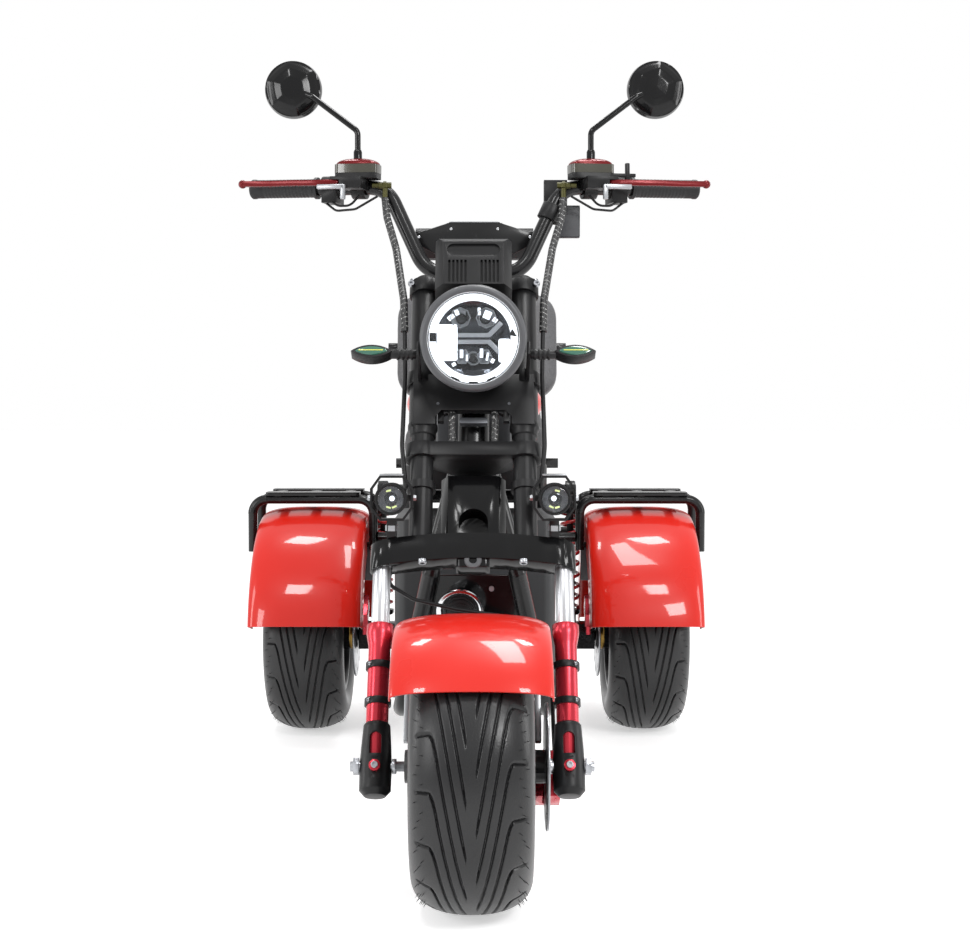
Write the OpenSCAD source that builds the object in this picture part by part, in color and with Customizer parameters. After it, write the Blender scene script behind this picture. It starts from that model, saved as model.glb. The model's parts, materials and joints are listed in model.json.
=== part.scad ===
// Electric tricycle with fat tyres: raked double-clamp fork in front, rigid rear axle with two wheels,
// bench seat with backrest, and a tube rack over each rear fender.
// It faces -Y and stands on Z = 0, with the middle of its box over the origin.

/* [Wheels] */
// Front axle to rear axle
wheelbase = 1350; // [1340:5:1400]
// Between the middles of the rear tyres
rear_track = 804; // [800:2:820]
// Outer radius of the tyres
tyre_r = 225; // [221:1:229]
// Width of the tyres
tyre_w = 188; // [176:2:192]
// Height of the tyre's side wall over the rim
tyre_wall = 98; // [93:1:105]
// Radius of the brake discs
disc_r = 100; // [90:1:104]
// Thickness of the brake discs
disc_t = 4; // [3:0.5:5]
// Radius of the front axle
axle_r = 8; // [7:0.5:10]
// Radius of the rear stub axles
stub_r = 12.5; // [11:0.5:15]
// Number of rim spokes
spokes = 6; // [5:1:8]

/* [Fork] */
// Lean of the fork behind the vertical, in degrees
rake = 30; // [29:0.5:31]
// Steering axis behind the fork tubes
fork_offset = 40; // [38:0.5:42]
// Between the lower legs
leg_spacing = 304; // [300:1:310]
// Between the upper tubes
tube_spacing = 178; // [174:1:182]
// Radius of the red lower legs
leg_r = 18; // [17:0.5:19]
// Radius of the chrome rods
rod_r = 15; // [13:0.5:16]
// Radius of the upper tubes
tube_r = 20; // [18:0.5:21]
// Radius of the tube covers
cover_r = 24.5; // [23:0.5:25.5]
// Chrome rod that shows between a leg and the bridge
rod_show = 136; // [130:1:142]
// Middle of the bridge, along the fork from the axle
bridge_l = 372; // [368:1:376]
// Height of the bridge band
bridge_h = 46; // [40:1:50]
// Underside of the lower clamp, along the fork from the axle
low_clamp_l = 542; // [538:1:546]
// Underside of the upper clamp, along the fork from the axle
top_clamp_l = 880; // [876:1:884]
// Thickness of both clamps
clamp_t = 26; // [22:1:28]
// Radius of the steering stem
stem_r = 14; // [12:0.5:16]
// Radius of the head tube
head_r = 28; // [25:0.5:30]

/* [Front fender] */
// Crown of the fender over the tyre
front_fender_gap = 15; // [12:1:20]
// Half of the width
front_fender_half = 122; // [120:1:126]
// Lip in front, degrees above level
front_fender_lip = 40; // [32:1:44]
// Lip behind, degrees above level
front_fender_tail = 24; // [20:1:36]
// Sheet thickness of all fenders
sheet = 3; // [2:0.5:4]

/* [Handlebar] */
// Radius of the bar
bar_r = 14; // [12:0.5:15]
// Rise from the clamped run to the grips
bar_rise = 164; // [150:2:176]
// Half of the span between the grip ends
bar_half = 425; // [415:5:435]
// Radius of the grips
grip_r = 17.5; // [16.5:0.5:19]
// Length of the grips
grip_l = 132; // [120:2:140]
// Radius of the mirrors
mirror_r = 54; // [48:1:58]

/* [Lamps] */
// Radius of the headlight bucket
lamp_r = 92; // [84:1:94]
// Radius of the headlight lens
lens_r = 76; // [70:1:80]
// Radius of the spot lamps
spot_r = 25; // [22:0.5:27]
// Between the spot lamps
spot_spacing = 272; // [268:2:280]
// Radius of the horn
horn_r = 44; // [38:1:48]

/* [Frame and body] */
// Radius of the lower frame tubes
frame_r = 17; // [15:0.5:18]
// Radius of the backbone tube
spine_r = 22; // [20:0.5:24]
// Half of the deck width
deck_half = 185; // [170:5:195]
// Half of the battery case width
case_half = 160; // [150:2:164]
// Half of the tank width
tank_half = 132; // [120:2:140]
// Half of the seat width
seat_half = 165; // [155:5:175]
// Half of the backrest width
back_half = 212; // [200:2:220]

/* [Rear fenders and racks] */
// Crown of the fenders over the tyres
rear_fender_gap = 87; // [81:1:93]
// Half of the width of one fender
rear_fender_half = 128; // [124:1:130]
// Middle of a fender from the middle of the vehicle
rear_fender_x = 388; // [386:1:392]
// Lip in front, degrees above level
rear_fender_lip = 12; // [8:1:20]
// Radius of the rack tubes
rack_r = 11; // [9:0.5:12]
// Clear height between the fenders and the rack tubes
rack_gap = 12; // [10:1:22]
// Radius of the luggage holes in the rack slats
luggage_hole_r = 3.25; // [2.5:0.25:4.5]
// Luggage holes across one rack
luggage_x = 120; // [110:2:130]
// Luggage holes along one rack
luggage_y = 120; // [110:2:124]

/* [Hidden] */
$fn = 48;
fit = 0.2;
run = 0.05;
stem_clear = 0.4;
end_gap = 0.4;
rear_y = wheelbase;
rim_r = tyre_r - tyre_wall;
front_fender_r = tyre_r + front_fender_gap;
rear_fender_r = tyre_r + rear_fender_gap;
rack_z = tyre_r + rear_fender_r + rack_gap + rack_r;
foot_top = 70;
leg_top = bridge_l - rod_show;
low_band = foot_top + 29;
top_band = leg_top - 76;
cover_l = low_clamp_l + clamp_t + 18;
lamp_l = (cover_l + top_clamp_l) / 2 - 26;
front_skirt_r = front_fender_r - 31;
tail_y = rear_y + rear_fender_r;
mid_y = (tail_y - tyre_r) / 2;
leg_x = leg_spacing / 2;
tube_x = tube_spacing / 2;
spot_x = spot_spacing / 2;
rear_x = rear_track / 2;
beam_end = rear_x - 117;
disc_x = rear_x - 110;
front_disc_x = tyre_w / 2 + 23;
rack_out_x = rear_fender_x + rear_fender_half + rack_r + 4;
rack_in_x = rear_fender_x - rear_fender_half - rack_r - 4;
bar_l = top_clamp_l + clamp_t + 53;
bar_base = fork_at(0, fork_offset, bar_l);
bar_knee = bar_base + [165, 26, bar_rise];
bar_end = bar_base + [bar_half, 91, bar_rise + 4];
grip_run = norm(bar_end - bar_knee);
grip_yaw = atan2(bar_end.y - bar_knee.y, bar_end.x - bar_knee.x);
grip_pitch = asin((bar_end.z - bar_knee.z) / grip_run);
cap_at = [48, -28];
mirror_foot = bar_knee + [cap_at.x * cos(grip_yaw) - cap_at.y * sin(grip_yaw),
    cap_at.x * sin(grip_yaw) + cap_at.y * cos(grip_yaw), 62];
lamp_face = fork_at(0, -135, lamp_l);
plate_p = -20;
deck_z = 205 + 0.97 * frame_r;
pan_top = 660;
pan_low = 612;

function unit(v) = v / norm(v);
function fork_at(x, p, l) = [x, p * cos(rake) + l * sin(rake), tyre_r - p * sin(rake) + l * cos(rake)];
function turn(a, v, b) = acos(max(-1, min(1, unit(v - a) * unit(b - v))));
function trim(p, i, bend) =
    (i == 0 || i == len(p) - 1) ? 0 : bend * tan(turn(p[i - 1], p[i], p[i + 1]) / 2);
function crown(t, n) = 1 - pow(1 - pow(abs(t), n), 1 / n);

module fork() { translate([0, 0, tyre_r]) rotate([-rake, 0, 0]) children(); }
module both() {
    children();
    mirror([1, 0, 0]) children();
}
module placed() { translate([0, -mid_y, 0]) children(); }

// Straight round bar from one point to another
module rod(a, b, r) {
    d = b - a;
    translate(a) rotate([0, acos(d.z / norm(d)), atan2(d.y, d.x)]) cylinder(r = r, h = norm(d));
}
// Quarter-like bend of a round bar at a corner point
module elbow(a, v, b, r, bend) {
    along = unit(v - a);
    out = unit(b - v);
    inward = unit(out - (out * along) * along);
    angle = turn(a, v, b);
    c = v - along * bend * tan(angle / 2) + inward * bend;
    side = cross(-inward, along);
    multmatrix([
        [-inward.x, along.x, side.x, c.x],
        [-inward.y, along.y, side.y, c.y],
        [-inward.z, along.z, side.z, c.z],
        [0, 0, 0, 1]])
        rotate_extrude(angle = angle) translate([bend, 0]) circle(r = r);
}
// Bent tube through corner points; the straight runs plug into the slightly wider bends
module pipe(p, r, bend) {
    last = len(p) - 2;
    plug = 0.6;
    for (i = [0:last]) {
        along = unit(p[i + 1] - p[i]);
        from = p[i] + along * (trim(p, i, bend) - (i > 0 ? plug : 0));
        to = p[i + 1] - along * (trim(p, i + 1, bend) - (i < last ? plug : 0));
        rod(from, to, 0.97 * r);
    }
    for (i = [1:1:last]) elbow(p[i - 1], p[i], p[i + 1], r, bend);
}
module rounded_rect(w, h, r) {
    square([w - 2 * r, h], center = true);
    square([w, h - 2 * r], center = true);
    for (sx = [-1, 1], sy = [-1, 1]) translate([sx * (w / 2 - r), sy * (h / 2 - r)]) circle(r = r);
}
module rounded_box(w, d, h, r) { linear_extrude(h) rounded_rect(w, d, r); }
// Round bar lying along X between two x values
module cross_bar(x0, x1, y, z, r) { translate([x0, y, z]) rotate([0, 90, 0]) cylinder(r = r, h = x1 - x0); }
module hex_nut(across, t) { cylinder(r = across / sqrt(3), h = t, $fn = 6); }

// Tyre with rounded shoulders, turned about X at its own middle
module tyre() {
    half = tyre_w / 2;
    bead = rim_r + fit;
    wall_top = tyre_r - 58;
    step = (wall_top - bead - 12) / 5;
    rotate([0, 90, 0]) rotate_extrude() polygon([
        [bead, -half + 22],
        for (t = [0:4]) [bead + 12 + t * step, -half + 12 - 12 * sin(t * 18)],
        for (a = [0:15:75]) [wall_top + 46 * sin(a), -half + 46 * (1 - cos(a))],
        for (x = [-0.55:0.11:0.56]) [tyre_r - 12 * x * x, x * half],
        for (a = [75:-15:0]) [wall_top + 46 * sin(a), half - 46 * (1 - cos(a))],
        for (t = [4:-1:0]) [bead + 12 + t * step, half - 12 + 12 * sin(t * 18)],
        [bead, half - 22]]);
}
// Cast rim, turned about X; bore is the hole for its axle, hub_in and hub_out are its hub ends along X
module rim(bore, hub_in, hub_out, disc_at) {
    half = tyre_w / 2 - 10;
    difference() {
        union() {
            rotate([0, 90, 0]) rotate_extrude() polygon([
                [rim_r + 7, -half], [rim_r + 7, -half + 5], [rim_r, -half + 10], [rim_r, half - 10],
                [rim_r + 7, half - 5], [rim_r + 7, half], [rim_r - 4, half], [rim_r - 9, half - 14],
                [rim_r - 9, -half + 14], [rim_r - 4, -half]]);
            translate([hub_in, 0, 0]) rotate([0, 90, 0]) cylinder(r = bore + 18, h = hub_out - hub_in);
            for (i = [0:spokes - 1])
                rotate([i * 360 / spokes, 0, 0])
                    translate([half - 52, -11, bore + 10]) cube([34, 22, rim_r - bore - 16]);
            translate([disc_at - disc_t / 2, 0, 0]) rotate([0, 90, 0]) cylinder(r = disc_r, h = disc_t);
        }
        translate([hub_in - 1, 0, 0]) rotate([0, 90, 0]) cylinder(r = bore, h = hub_out - hub_in + 2);
        for (i = [0:9])
            rotate([i * 36, 0, 0]) translate([disc_at - disc_t, 0, disc_r - 18])
                rotate([0, 90, 0]) cylinder(r = 6, h = disc_t * 2);
    }
}
// Curved sheet fender turned about X: rise is the drop of its shoulders, skirt the reach of its sides
module fender(r, half, drop, sharp, skirt, lip, tail) {
    rotate([0, 90, 0]) rotate([0, 0, 90 + tail]) rotate_extrude(angle = 180 - lip - tail) polygon([
        [skirt, -half],
        for (i = [-9:9]) [r - drop * crown(i / 9, sharp), i / 9 * half],
        [skirt, half],
        [skirt, half - sheet],
        for (i = [9:-1:-9]) [r - sheet - drop * crown(i / 9, sharp), i / 9 * (half - sheet)],
        [skirt, -half + sheet]]);
}
module front_tyre() { color("#1b1b1c") translate([0, 0, tyre_r]) tyre(); }
module front_rim() {
    color("#2a2b2d") translate([0, 0, tyre_r])
        rim(axle_r + run, -tyre_w / 2 - 12, front_disc_x + disc_t / 2, front_disc_x);
}
module rear_tyre(side) { color("#1b1b1c") translate([side * rear_x, rear_y, tyre_r]) tyre(); }
module rear_rim(side) {
    color("#2a2b2d") translate([side * rear_x, rear_y, tyre_r]) scale([side, 1, 1])
        rim(stub_r + run, -114, 64, disc_x - rear_x);
}
module rear_left_tyre() { rear_tyre(1); }
module rear_left_rim() { rear_rim(1); }
module rear_right_tyre() { rear_tyre(-1); }
module rear_right_rim() { rear_rim(-1); }

module front_axle() {
    color("silver") translate([0, 0, tyre_r]) {
        cross_bar(-leg_x - 40, leg_x + 40, 0, 0, axle_r);
        both() {
            translate([leg_x + 26, 0, 0]) rotate([0, 90, 0]) hex_nut(24, 9);
            cross_bar(front_disc_x + disc_t / 2 + end_gap, leg_x - 26, 0, 0, axle_r + 4);
        }
    }
}
module fork_legs() {
    color("#c22f33") fork() both() translate([leg_x, 0, 0]) {
        translate([0, 0, 14]) cylinder(r = leg_r, h = leg_top - 14 - 36);
        translate([0, 0, leg_top - 36]) cylinder(r1 = leg_r, r2 = leg_r + 4, h = 22);
        translate([0, 0, leg_top - 14]) cylinder(r = leg_r + 4, h = 14);
        translate([0, -24 - fit, -6]) rotate([90, 0, 0]) cylinder(r = 9, h = 6);
    }
}
// Black foot of a leg with an arched window in front, and two bands; the upper one carries the fender
module leg_caps() {
    color("#1c1c1e") fork() both() {
        difference() {
            translate([leg_x, 0, 0]) rotate([0, 0, 50]) rotate_extrude() polygon([
                [0, -48], [17, -48], [25, -39], [25.5, 0], [24, 30], [21.5, foot_top - 4],
                [leg_r + fit, foot_top],
                [leg_r + fit, 14 - fit], [0, 14 - fit]]);
            translate([leg_x, -leg_r + 2, 28]) rotate([90, 0, 0]) linear_extrude(20) {
                square([19, 26], center = true);
                translate([0, 13]) circle(r = 9.5);
            }
            translate([leg_x - 14, -64, -20]) cube([28, 40, 28]);
            translate([leg_x - 40, 0, 0]) rotate([0, 90, 0]) cylinder(r = axle_r + fit, h = 80);
            translate([leg_x - 40, 0, 0]) rotate([0, 90, 0]) cylinder(r = axle_r + 4 + fit, h = 14 + fit);
        }
        translate([front_fender_half + fit, -8, top_band]) cube([4, 16, front_skirt_r + 6 - top_band]);
        for (l = [low_band, top_band]) difference() {
            union() {
                translate([leg_x, 0, l]) cylinder(r = leg_r + 3.5, h = 11);
                if (l == top_band)
                    translate([front_fender_half + fit, -8, l]) cube([leg_x - front_fender_half - 15, 16, 11]);
            }
            translate([leg_x, 0, l - 1]) cylinder(r = leg_r + fit, h = 13);
        }
    }
}
module chrome_rods() {
    color("#d8dadc") fork() both()
        translate([leg_x, 0, leg_top + fit]) cylinder(r = rod_r, h = bridge_l - 18 - leg_top);
}
// Arched band that spreads the narrow upper tubes to the wide lower legs
module bridge_band(half, arch) {
    intersection() {
        translate([0, 34, bridge_l - arch]) rotate([90, 0, 0]) linear_extrude(68) difference() {
            circle(r = arch + bridge_h / 2, $fn = 240);
            circle(r = arch - bridge_h / 2, $fn = 240);
        }
        translate([0, 0, bridge_l - 60]) linear_extrude(120) {
            square([2 * leg_x, 46], center = true);
            for (s = [-1, 1]) translate([s * leg_x, 0]) circle(r = half - leg_x);
        }
    }
}
module fork_bridge() {
    color("#151516") fork() difference() {
        union() {
            bridge_band(leg_x + 20, 900);
            translate([0, 0, bridge_l - bridge_h / 2 - 13]) linear_extrude(20) rounded_rect(56, 36, 8);
        }
        for (s = [-1, 1]) {
            translate([s * leg_x, 0, bridge_l - 60]) cylinder(r = rod_r + fit, h = 60 - 18 + fit * 2);
            translate([s * tube_x, 0, bridge_l + 2]) cylinder(r = tube_r + fit, h = 60);
        }
    }
}
module fork_tubes() {
    color("#1a1a1b") fork() both() translate([tube_x, 0, 0]) rotate_extrude() polygon([
        [0, bridge_l + 2 + fit], [tube_r, bridge_l + 2 + fit], [tube_r, cover_l], [tube_r + 3, cover_l + 2],
        [tube_r + 3, cover_l + 12], [cover_r + 1.5, cover_l + 16], [cover_r + 1.5, cover_l + 24],
        [cover_r, cover_l + 28],
        [cover_r, top_clamp_l - 0.5], [tube_r, top_clamp_l - 0.5], [tube_r, top_clamp_l + clamp_t + 8],
        [tube_r - 4, top_clamp_l + clamp_t + 12], [0, top_clamp_l + clamp_t + 12]]);
}
module clamp_outline() {
    difference() {
        union() {
            for (s = [-1, 1]) translate([s * tube_x, 0]) circle(r = tube_r + 9);
            polygon([[-tube_x, -24], [tube_x, -24], [tube_x, 22], [28, fork_offset + 20],
                [-28, fork_offset + 20], [-tube_x, 22]]);
            translate([0, fork_offset]) circle(r = 36);
        }
        for (s = [-1, 1]) translate([s * tube_x, 0]) circle(r = tube_r + fit);
    }
}
module steering_clamps() {
    color("#202123") fork() {
        translate([0, 0, low_clamp_l]) linear_extrude(clamp_t) clamp_outline();
        translate([0, fork_offset, low_clamp_l + 1]) cylinder(r = stem_r, h = top_clamp_l - low_clamp_l + 20);
        translate([0, 0, top_clamp_l]) linear_extrude(clamp_t) clamp_outline();
        for (s = [-1, 1]) translate([s * 38, fork_offset, top_clamp_l + clamp_t - 1]) difference() {
            translate([-14, -19, 0]) cube([28, 38, 74]);
            translate([-20, 0, 54]) rotate([0, 90, 0]) cylinder(r = bar_r + fit, h = 40);
        }
    }
}
module front_fender() {
    color("#e8382b") translate([0, 0, tyre_r])
        fender(front_fender_r, front_fender_half, 24, 2.3, front_skirt_r, front_fender_lip,
            front_fender_tail);
}
module front_caliper() {
    x0 = front_disc_x;
    color("#c22f33") fork() difference() {
        union() {
            translate([x0 - 24, 62, -30]) cube([48, 56, 76]);
            translate([x0 + 12, 20, -14]) cube([10, 50, 44]);
        }
        translate([x0 - disc_t / 2 - 2.5, -10, -140]) cube([disc_t + 5, disc_r + 16, 280]);
        translate([leg_x, 0, -60]) cylinder(r = 25.5 + fit, h = 140);
    }
}

module handlebar() {
    color("#161617") pipe([
        mirrored(bar_end), mirrored(bar_knee), bar_base - [90, 0, 0],
        bar_base + [90, 0, 0], bar_knee, bar_end], bar_r, 46);
}
function mirrored(v) = [-v.x, v.y, v.z];
// Frame along a grip: X outward along the bar from its knee, Y back, Z up
module on_bar() { translate(bar_knee) rotate([0, -grip_pitch, grip_yaw]) children(); }
module grips() {
    color("#232324") both() on_bar() difference() {
        union() {
            cross_bar(grip_run - grip_l, grip_run + 4, 0, 0, grip_r);
            cross_bar(grip_run - grip_l, grip_run - grip_l + 6, 0, 0, grip_r + 3);
        }
        cross_bar(grip_run - grip_l - 1, grip_run + fit, 0, 0, bar_r + fit);
    }
}
module brake_masters() {
    color("#1d1d1f") both() on_bar() difference() {
        union() {
            cross_bar(40, 66, 0, 0, bar_r + 8);
            translate([32, -62, -8]) cube([60, 50, 22]);
            translate([cap_at.x, cap_at.y, 12]) rounded_box(82, 44, 26, 10);
            cross_bar(88, 126, 0, 0, bar_r + 8);
            translate([92, -24, -30]) cube([30, 44, 30]);
        }
        cross_bar(20, 140, 0, 0, bar_r + fit);
        translate([74, -70, -3]) cube([30, 40, 11]);
    }
}
// Controller and key boxes behind the left riser of the bar, on a split ring
module bar_boxes() {
    foot = bar_base + [90, 0, 0];
    rise = bar_knee - foot;
    color("#2b2c2e") difference() {
        union() {
            rod(foot + 0.62 * rise, foot + 0.78 * rise, bar_r + 6);
            translate(bar_knee + [-32, -2, -62]) cube([26, 30, 30]);
            translate(bar_knee + [-33, 18, -40]) cube([44, 26, 56]);
            translate(bar_knee + [-5, 20, -92]) cube([40, 18, 60]);
        }
        rod(foot + 0.4 * rise, foot + 0.95 * rise, 0.97 * bar_r + fit);
    }
}
module reservoir_caps() {
    color("#c22f33") both() on_bar() difference() {
        translate([cap_at.x, cap_at.y, 38 + fit]) {
            rounded_box(84, 46, 8, 10);
            translate([0, 0, 7]) rounded_box(72, 36, 5, 9);
        }
        translate([cap_at.x, cap_at.y, 30]) cylinder(r = 8.9, h = 40);
    }
}
// Red lever in front of a grip, with a ball at its tip
module brake_levers() {
    color("#c22f33") both() on_bar() translate([0, 0, -2.7]) {
        linear_extrude(10.4) {
            translate([84, -50]) circle(r = 9);
            polygon([[80, -58], [96, -64], [130, -63], [168, -66], [212, -62], [264, -64], [264, -53],
                [212, -51], [168, -55], [130, -52], [100, -53], [86, -42]]);
        }
        translate([268, -56.5, 5.2]) sphere(r = 8);
    }
}
module mirrors() {
    elbow_at = mirror_foot + [0, 0, 40];
    top = mirror_foot + [86, 10, 106];
    head = top + [38, 14, 17];
    color("#18181a") both() {
        translate(mirror_foot - [0, 0, 23]) cylinder(r = 8, h = 26);
        pipe([mirror_foot, elbow_at, top, top + [24, 8, 11]], 5.5, 16);
        translate(head) rotate([-90, 0, 0]) rotate_extrude() polygon([
            [0, -18], [20, -17], [38, -12], [mirror_r - 4, 0], [mirror_r, 8], [mirror_r, 15],
            [mirror_r - 4, 17], [0, 17]]);
    }
}

// Deep bucket with a bright rim round its lens pocket, and a neck to the lamp plate behind it
module headlight_shell() {
    color("#17171a") difference() {
        union() {
            translate(lamp_face) rotate([-90, 0, 0]) rotate_extrude() polygon([
                [0, 0], [lamp_r - 6, 0], [lamp_r, 6], [lamp_r, 36], [lamp_r - 14, 62], [56, 90], [0, 90]]);
            intersection() {
                translate(lamp_face + [0, 80, 0]) rotate([-90, 0, 0]) cylinder(r = 30, h = 80);
                fork() translate([-60, plate_p - fit - 300, lamp_l - 190]) cube([120, 300, 400]);
            }
        }
        translate(lamp_face - [0, 1, 0]) rotate([-90, 0, 0]) cylinder(r = lens_r + fit, h = 31);
    }
}
module headlight_lens() {
    color("#dfe6ea") translate(lamp_face + [0, 30 - fit, 0]) rotate([90, 0, 0]) {
        cylinder(r = lens_r, h = 26);
        translate([0, 0, 25]) cylinder(r1 = lens_r - 2, r2 = lens_r - 14, h = 6);
    }
}
// Plate between the fork covers and ribbed hood above the headlight, with ears clamped to the covers
module headlight_cowl() {
    color("#161617") fork() {
        difference() {
            translate([0, 0, cover_l + 24]) linear_extrude(top_clamp_l - 30 - cover_l)
                translate([0, plate_p + 5]) square([2 * (tube_x - cover_r - 2), 10], center = true);
            translate([0, 20, cover_l + 24]) rotate([90, 0, 0]) linear_extrude(80) {
                square([104, 24], center = true);
                translate([0, 12]) scale([1, 0.16]) circle(r = 52);
            }
        }
        difference() {
            translate([0, 0, lamp_l + 104]) linear_extrude(101) polygon([
                [-53, -146], [53, -146], [67, -128], [67, -60], [56, -34], [-56, -34], [-67, -60],
                [-67, -128]]);
            translate([0, -140, lamp_l + 176]) rotate([90, 0, 0]) linear_extrude(20) rounded_rect(92, 24, 11);
            for (i = [-6:6]) if (abs(i) > 1)
                translate([i * 7 - 2, -150, lamp_l + 108]) cube([4, 9, 46]);
            translate([-80, -146, lamp_l + 193]) rotate([50, 0, 0]) cube([160, 60, 60]);
        }
        both() {
            translate([32, -36, lamp_l + 80]) cube([18, plate_p + 38, 77]);
            difference() {
                union() {
                    translate([tube_x, 0, lamp_l - 20]) cylinder(r = cover_r + 5, h = 24);
                    translate([lamp_r + end_gap, -118, lamp_l - 20]) cube([5, 110, 24]);
                }
                translate([tube_x, 0, lamp_l - 30]) cylinder(r = cover_r + fit, h = 44);
            }
            translate([tube_x - cover_r - 4, plate_p, lamp_l - 18]) cube([6, 8, 20]);
        }
    }
}
module instrument_hood() {
    color("#19191b") {
        translate([0, bar_base.y + 40, 0]) rotate([90, 0, 90]) translate([0, 0, -53]) linear_extrude(106)
            polygon([[0, bar_base.z + 92], [0, bar_base.z + 64], [24, bar_base.z + 27],
                [76, bar_base.z + 27], [92, bar_base.z + 48], [14, bar_base.z + 100]]);
        both() translate([0, bar_base.y + 40, 0]) rotate([90, 0, 90]) translate([0, 0, 52])
            linear_extrude(60) polygon([[2, bar_base.z + 82], [2, bar_base.z + 60], [26, bar_base.z + 34],
                [74, bar_base.z + 34], [86, bar_base.z + 48], [16, bar_base.z + 90]]);
        translate([-22, bar_base.y + 64, bar_base.z - 28]) cube([44, 30, 60]);
        fork() translate([-50, fork_offset - 16, top_clamp_l + clamp_t + 73 + fit]) cube([100, 112, 6]);
    }
}
module front_indicators() {
    color("#1c1c1e") both() fork() {
        cross_bar(lamp_r + 5 + 2 * end_gap, 142, -96, lamp_l - 8, 8);
        for (i = [0:3]) cross_bar(104 + i * 8, 108 + i * 8, -96, lamp_l - 8, 10);
        translate([141, -82, lamp_l - 8]) rotate([90, 0, 0]) linear_extrude(26) intersection() {
            translate([34, -46]) circle(r = 58);
            translate([34, 46]) circle(r = 58);
        }
    }
}
module spot_lamps() {
    base = fork_at(spot_x, -8, bridge_l + bridge_h / 2 - 10);
    eye = base + [0, -8, 74];
    color("#1b1b1d") both() difference() {
        union() {
            translate(eye - [0, 30, 0]) rotate([-90, 0, 0]) {
                cylinder(r = spot_r + 2, h = 12);
                translate([0, 0, 11]) cylinder(r = spot_r, h = 36);
                for (i = [0:2]) translate([0, 0, 46 + i * 6]) cylinder(r = spot_r - 1 - i * 3, h = 3);
                translate([0, 0, 46]) cylinder(r = 14, h = 18);
            }
            translate(eye + [0, 9, 0]) rotate([90, 0, 0]) linear_extrude(18) difference() {
                polygon([[-20, 38], [20, 38], [36, 16], [36, -16], [20, -38], [-20, -38], [-36, -16],
                    [-36, 16]]);
                polygon([[-18, 34], [18, 34], [32, 14.7], [32, -14.7], [18, -34], [-18, -34], [-32, -14.7],
                    [-32, 14.7]]);
            }
            for (s = [-1, 1]) translate(eye + [s * 29 - 7, -5, -5]) cube([14, 10, 10]);
            translate(eye + [-8, -8, -90]) cube([16, 16, 54]);
        }
        translate(eye - [0, 31, 0]) rotate([-90, 0, 0]) cylinder(r = spot_r - 3, h = 7);
        fork() intersection() {
            translate([0, 60, bridge_l - 900]) rotate([90, 0, 0])
                cylinder(r = 900 + bridge_h / 2 + fit, h = 120, $fn = 240);
            translate([spot_x - 60, -60, bridge_l - 60]) cube([120, 120, 120]);
        }
    }
}
// Brake hose and wiring run down both sides of the fork
module brake_hoses() {
    color("#141415") {
        both() pipe([
            bar_knee + [22, -34, 2], bar_knee + [-30, -60, -60], fork_at(tube_x + 34, -24, low_clamp_l + 244),
            fork_at(tube_x + 34, -24, low_clamp_l + 4), fork_at(tube_x + 26, 0, low_clamp_l - 56)], 5, 14);
        both() fork() translate([tube_x, 0, 0]) difference() {
            union() {
                translate([0, 0, low_clamp_l - 60]) cylinder(r = tube_r + 3, h = 12);
                translate([0, -4, low_clamp_l - 60]) cube([26, 8, 12]);
            }
            translate([0, 0, low_clamp_l - 66]) cylinder(r = tube_r + fit, h = 24);
        }
    }
}

module spine_path(r) {
    pipe([fork_at(0, fork_offset + 16, low_clamp_l + 134), [0, 560, 662], [0, 1190, 582]], r, 80);
}
module frame() {
    color("#1a1a1b") difference() {
        union() {
            fork() translate([0, fork_offset, low_clamp_l + clamp_t + end_gap])
                cylinder(r = head_r, h = top_clamp_l - low_clamp_l - clamp_t - 2 * end_gap);
            spine_path(spine_r);
            fork() translate([-6, 0, 0]) rotate([90, 0, 90]) linear_extrude(12)
                translate([0, low_clamp_l]) polygon([[fork_offset + 14, 44], [fork_offset + 14, 124],
                    [fork_offset + 70, 134], [225, -86], [190, -126], [104, -126], [104, -16],
                    [fork_offset + 44, 38]]);
            both() {
                pipe([fork_at(16, fork_offset + 16, low_clamp_l + 66), [80, 440, 480], [140, 520, 205],
                    [140, 985, 205],
                    [150, 1130, 570], [150, rear_y + 215, 590]], frame_r, 70);
                rod([150, rear_y - 75, 566], [150, rear_y - 75, rack_z - 90], 9);
                rod([150, rear_y + 75, 572], [150, rear_y + 75, rack_z - 90], 9);
                cross_bar(138, 240, rear_y, 581, 10);
            }
            cross_bar(-140, 140, 560, 205, 14);
            cross_bar(-140, 140, 960, 205, 14);
            cross_bar(-150, 150, 1180, 573, 15);
            cross_bar(-150, 150, rear_y + 195, 589, 15);
            cross_bar(-rack_in_x + rack_r + fit, rack_in_x - rack_r - fit, rear_y - 75, rack_z - 90, 12);
            cross_bar(-rack_in_x + rack_r + fit, rack_in_x - rack_r - fit, rear_y + 75, rack_z - 90, 12);
            both() translate([120, 1010, 258]) rotate([0, 90, 0]) cylinder(r = 26, h = 10);
            both() translate([120, 986, 196]) cube([10, 40, 62]);
        }
        fork() translate([0, fork_offset, low_clamp_l])
            cylinder(r = stem_r + stem_clear, h = top_clamp_l - low_clamp_l + 40);
    }
}
// Black cover below the steering head with an arched mouth
module neck_cover() {
    color("#131314") fork() difference() {
        translate([0, 0, low_clamp_l - 134]) linear_extrude(116)
            polygon([[-44, 22], [44, 22], [56, 40], [56, 92], [40, 104 - fit], [-40, 104 - fit], [-56, 92],
                [-56, 40]]);
        translate([0, 60, low_clamp_l - 128]) rotate([90, 0, 0]) linear_extrude(80) {
            square([50, 44], center = true);
            translate([0, 22]) circle(r = 25);
        }
    }
}
module front_shield() {
    color("#1d1d1f") on_shield() translate([0, 4, 0]) rotate([90, 0, 0])
        linear_extrude(6) polygon([[-63.2, -4], [63.2, -4], [114.8, -250], [-114.8, -250]]);
}
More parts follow.
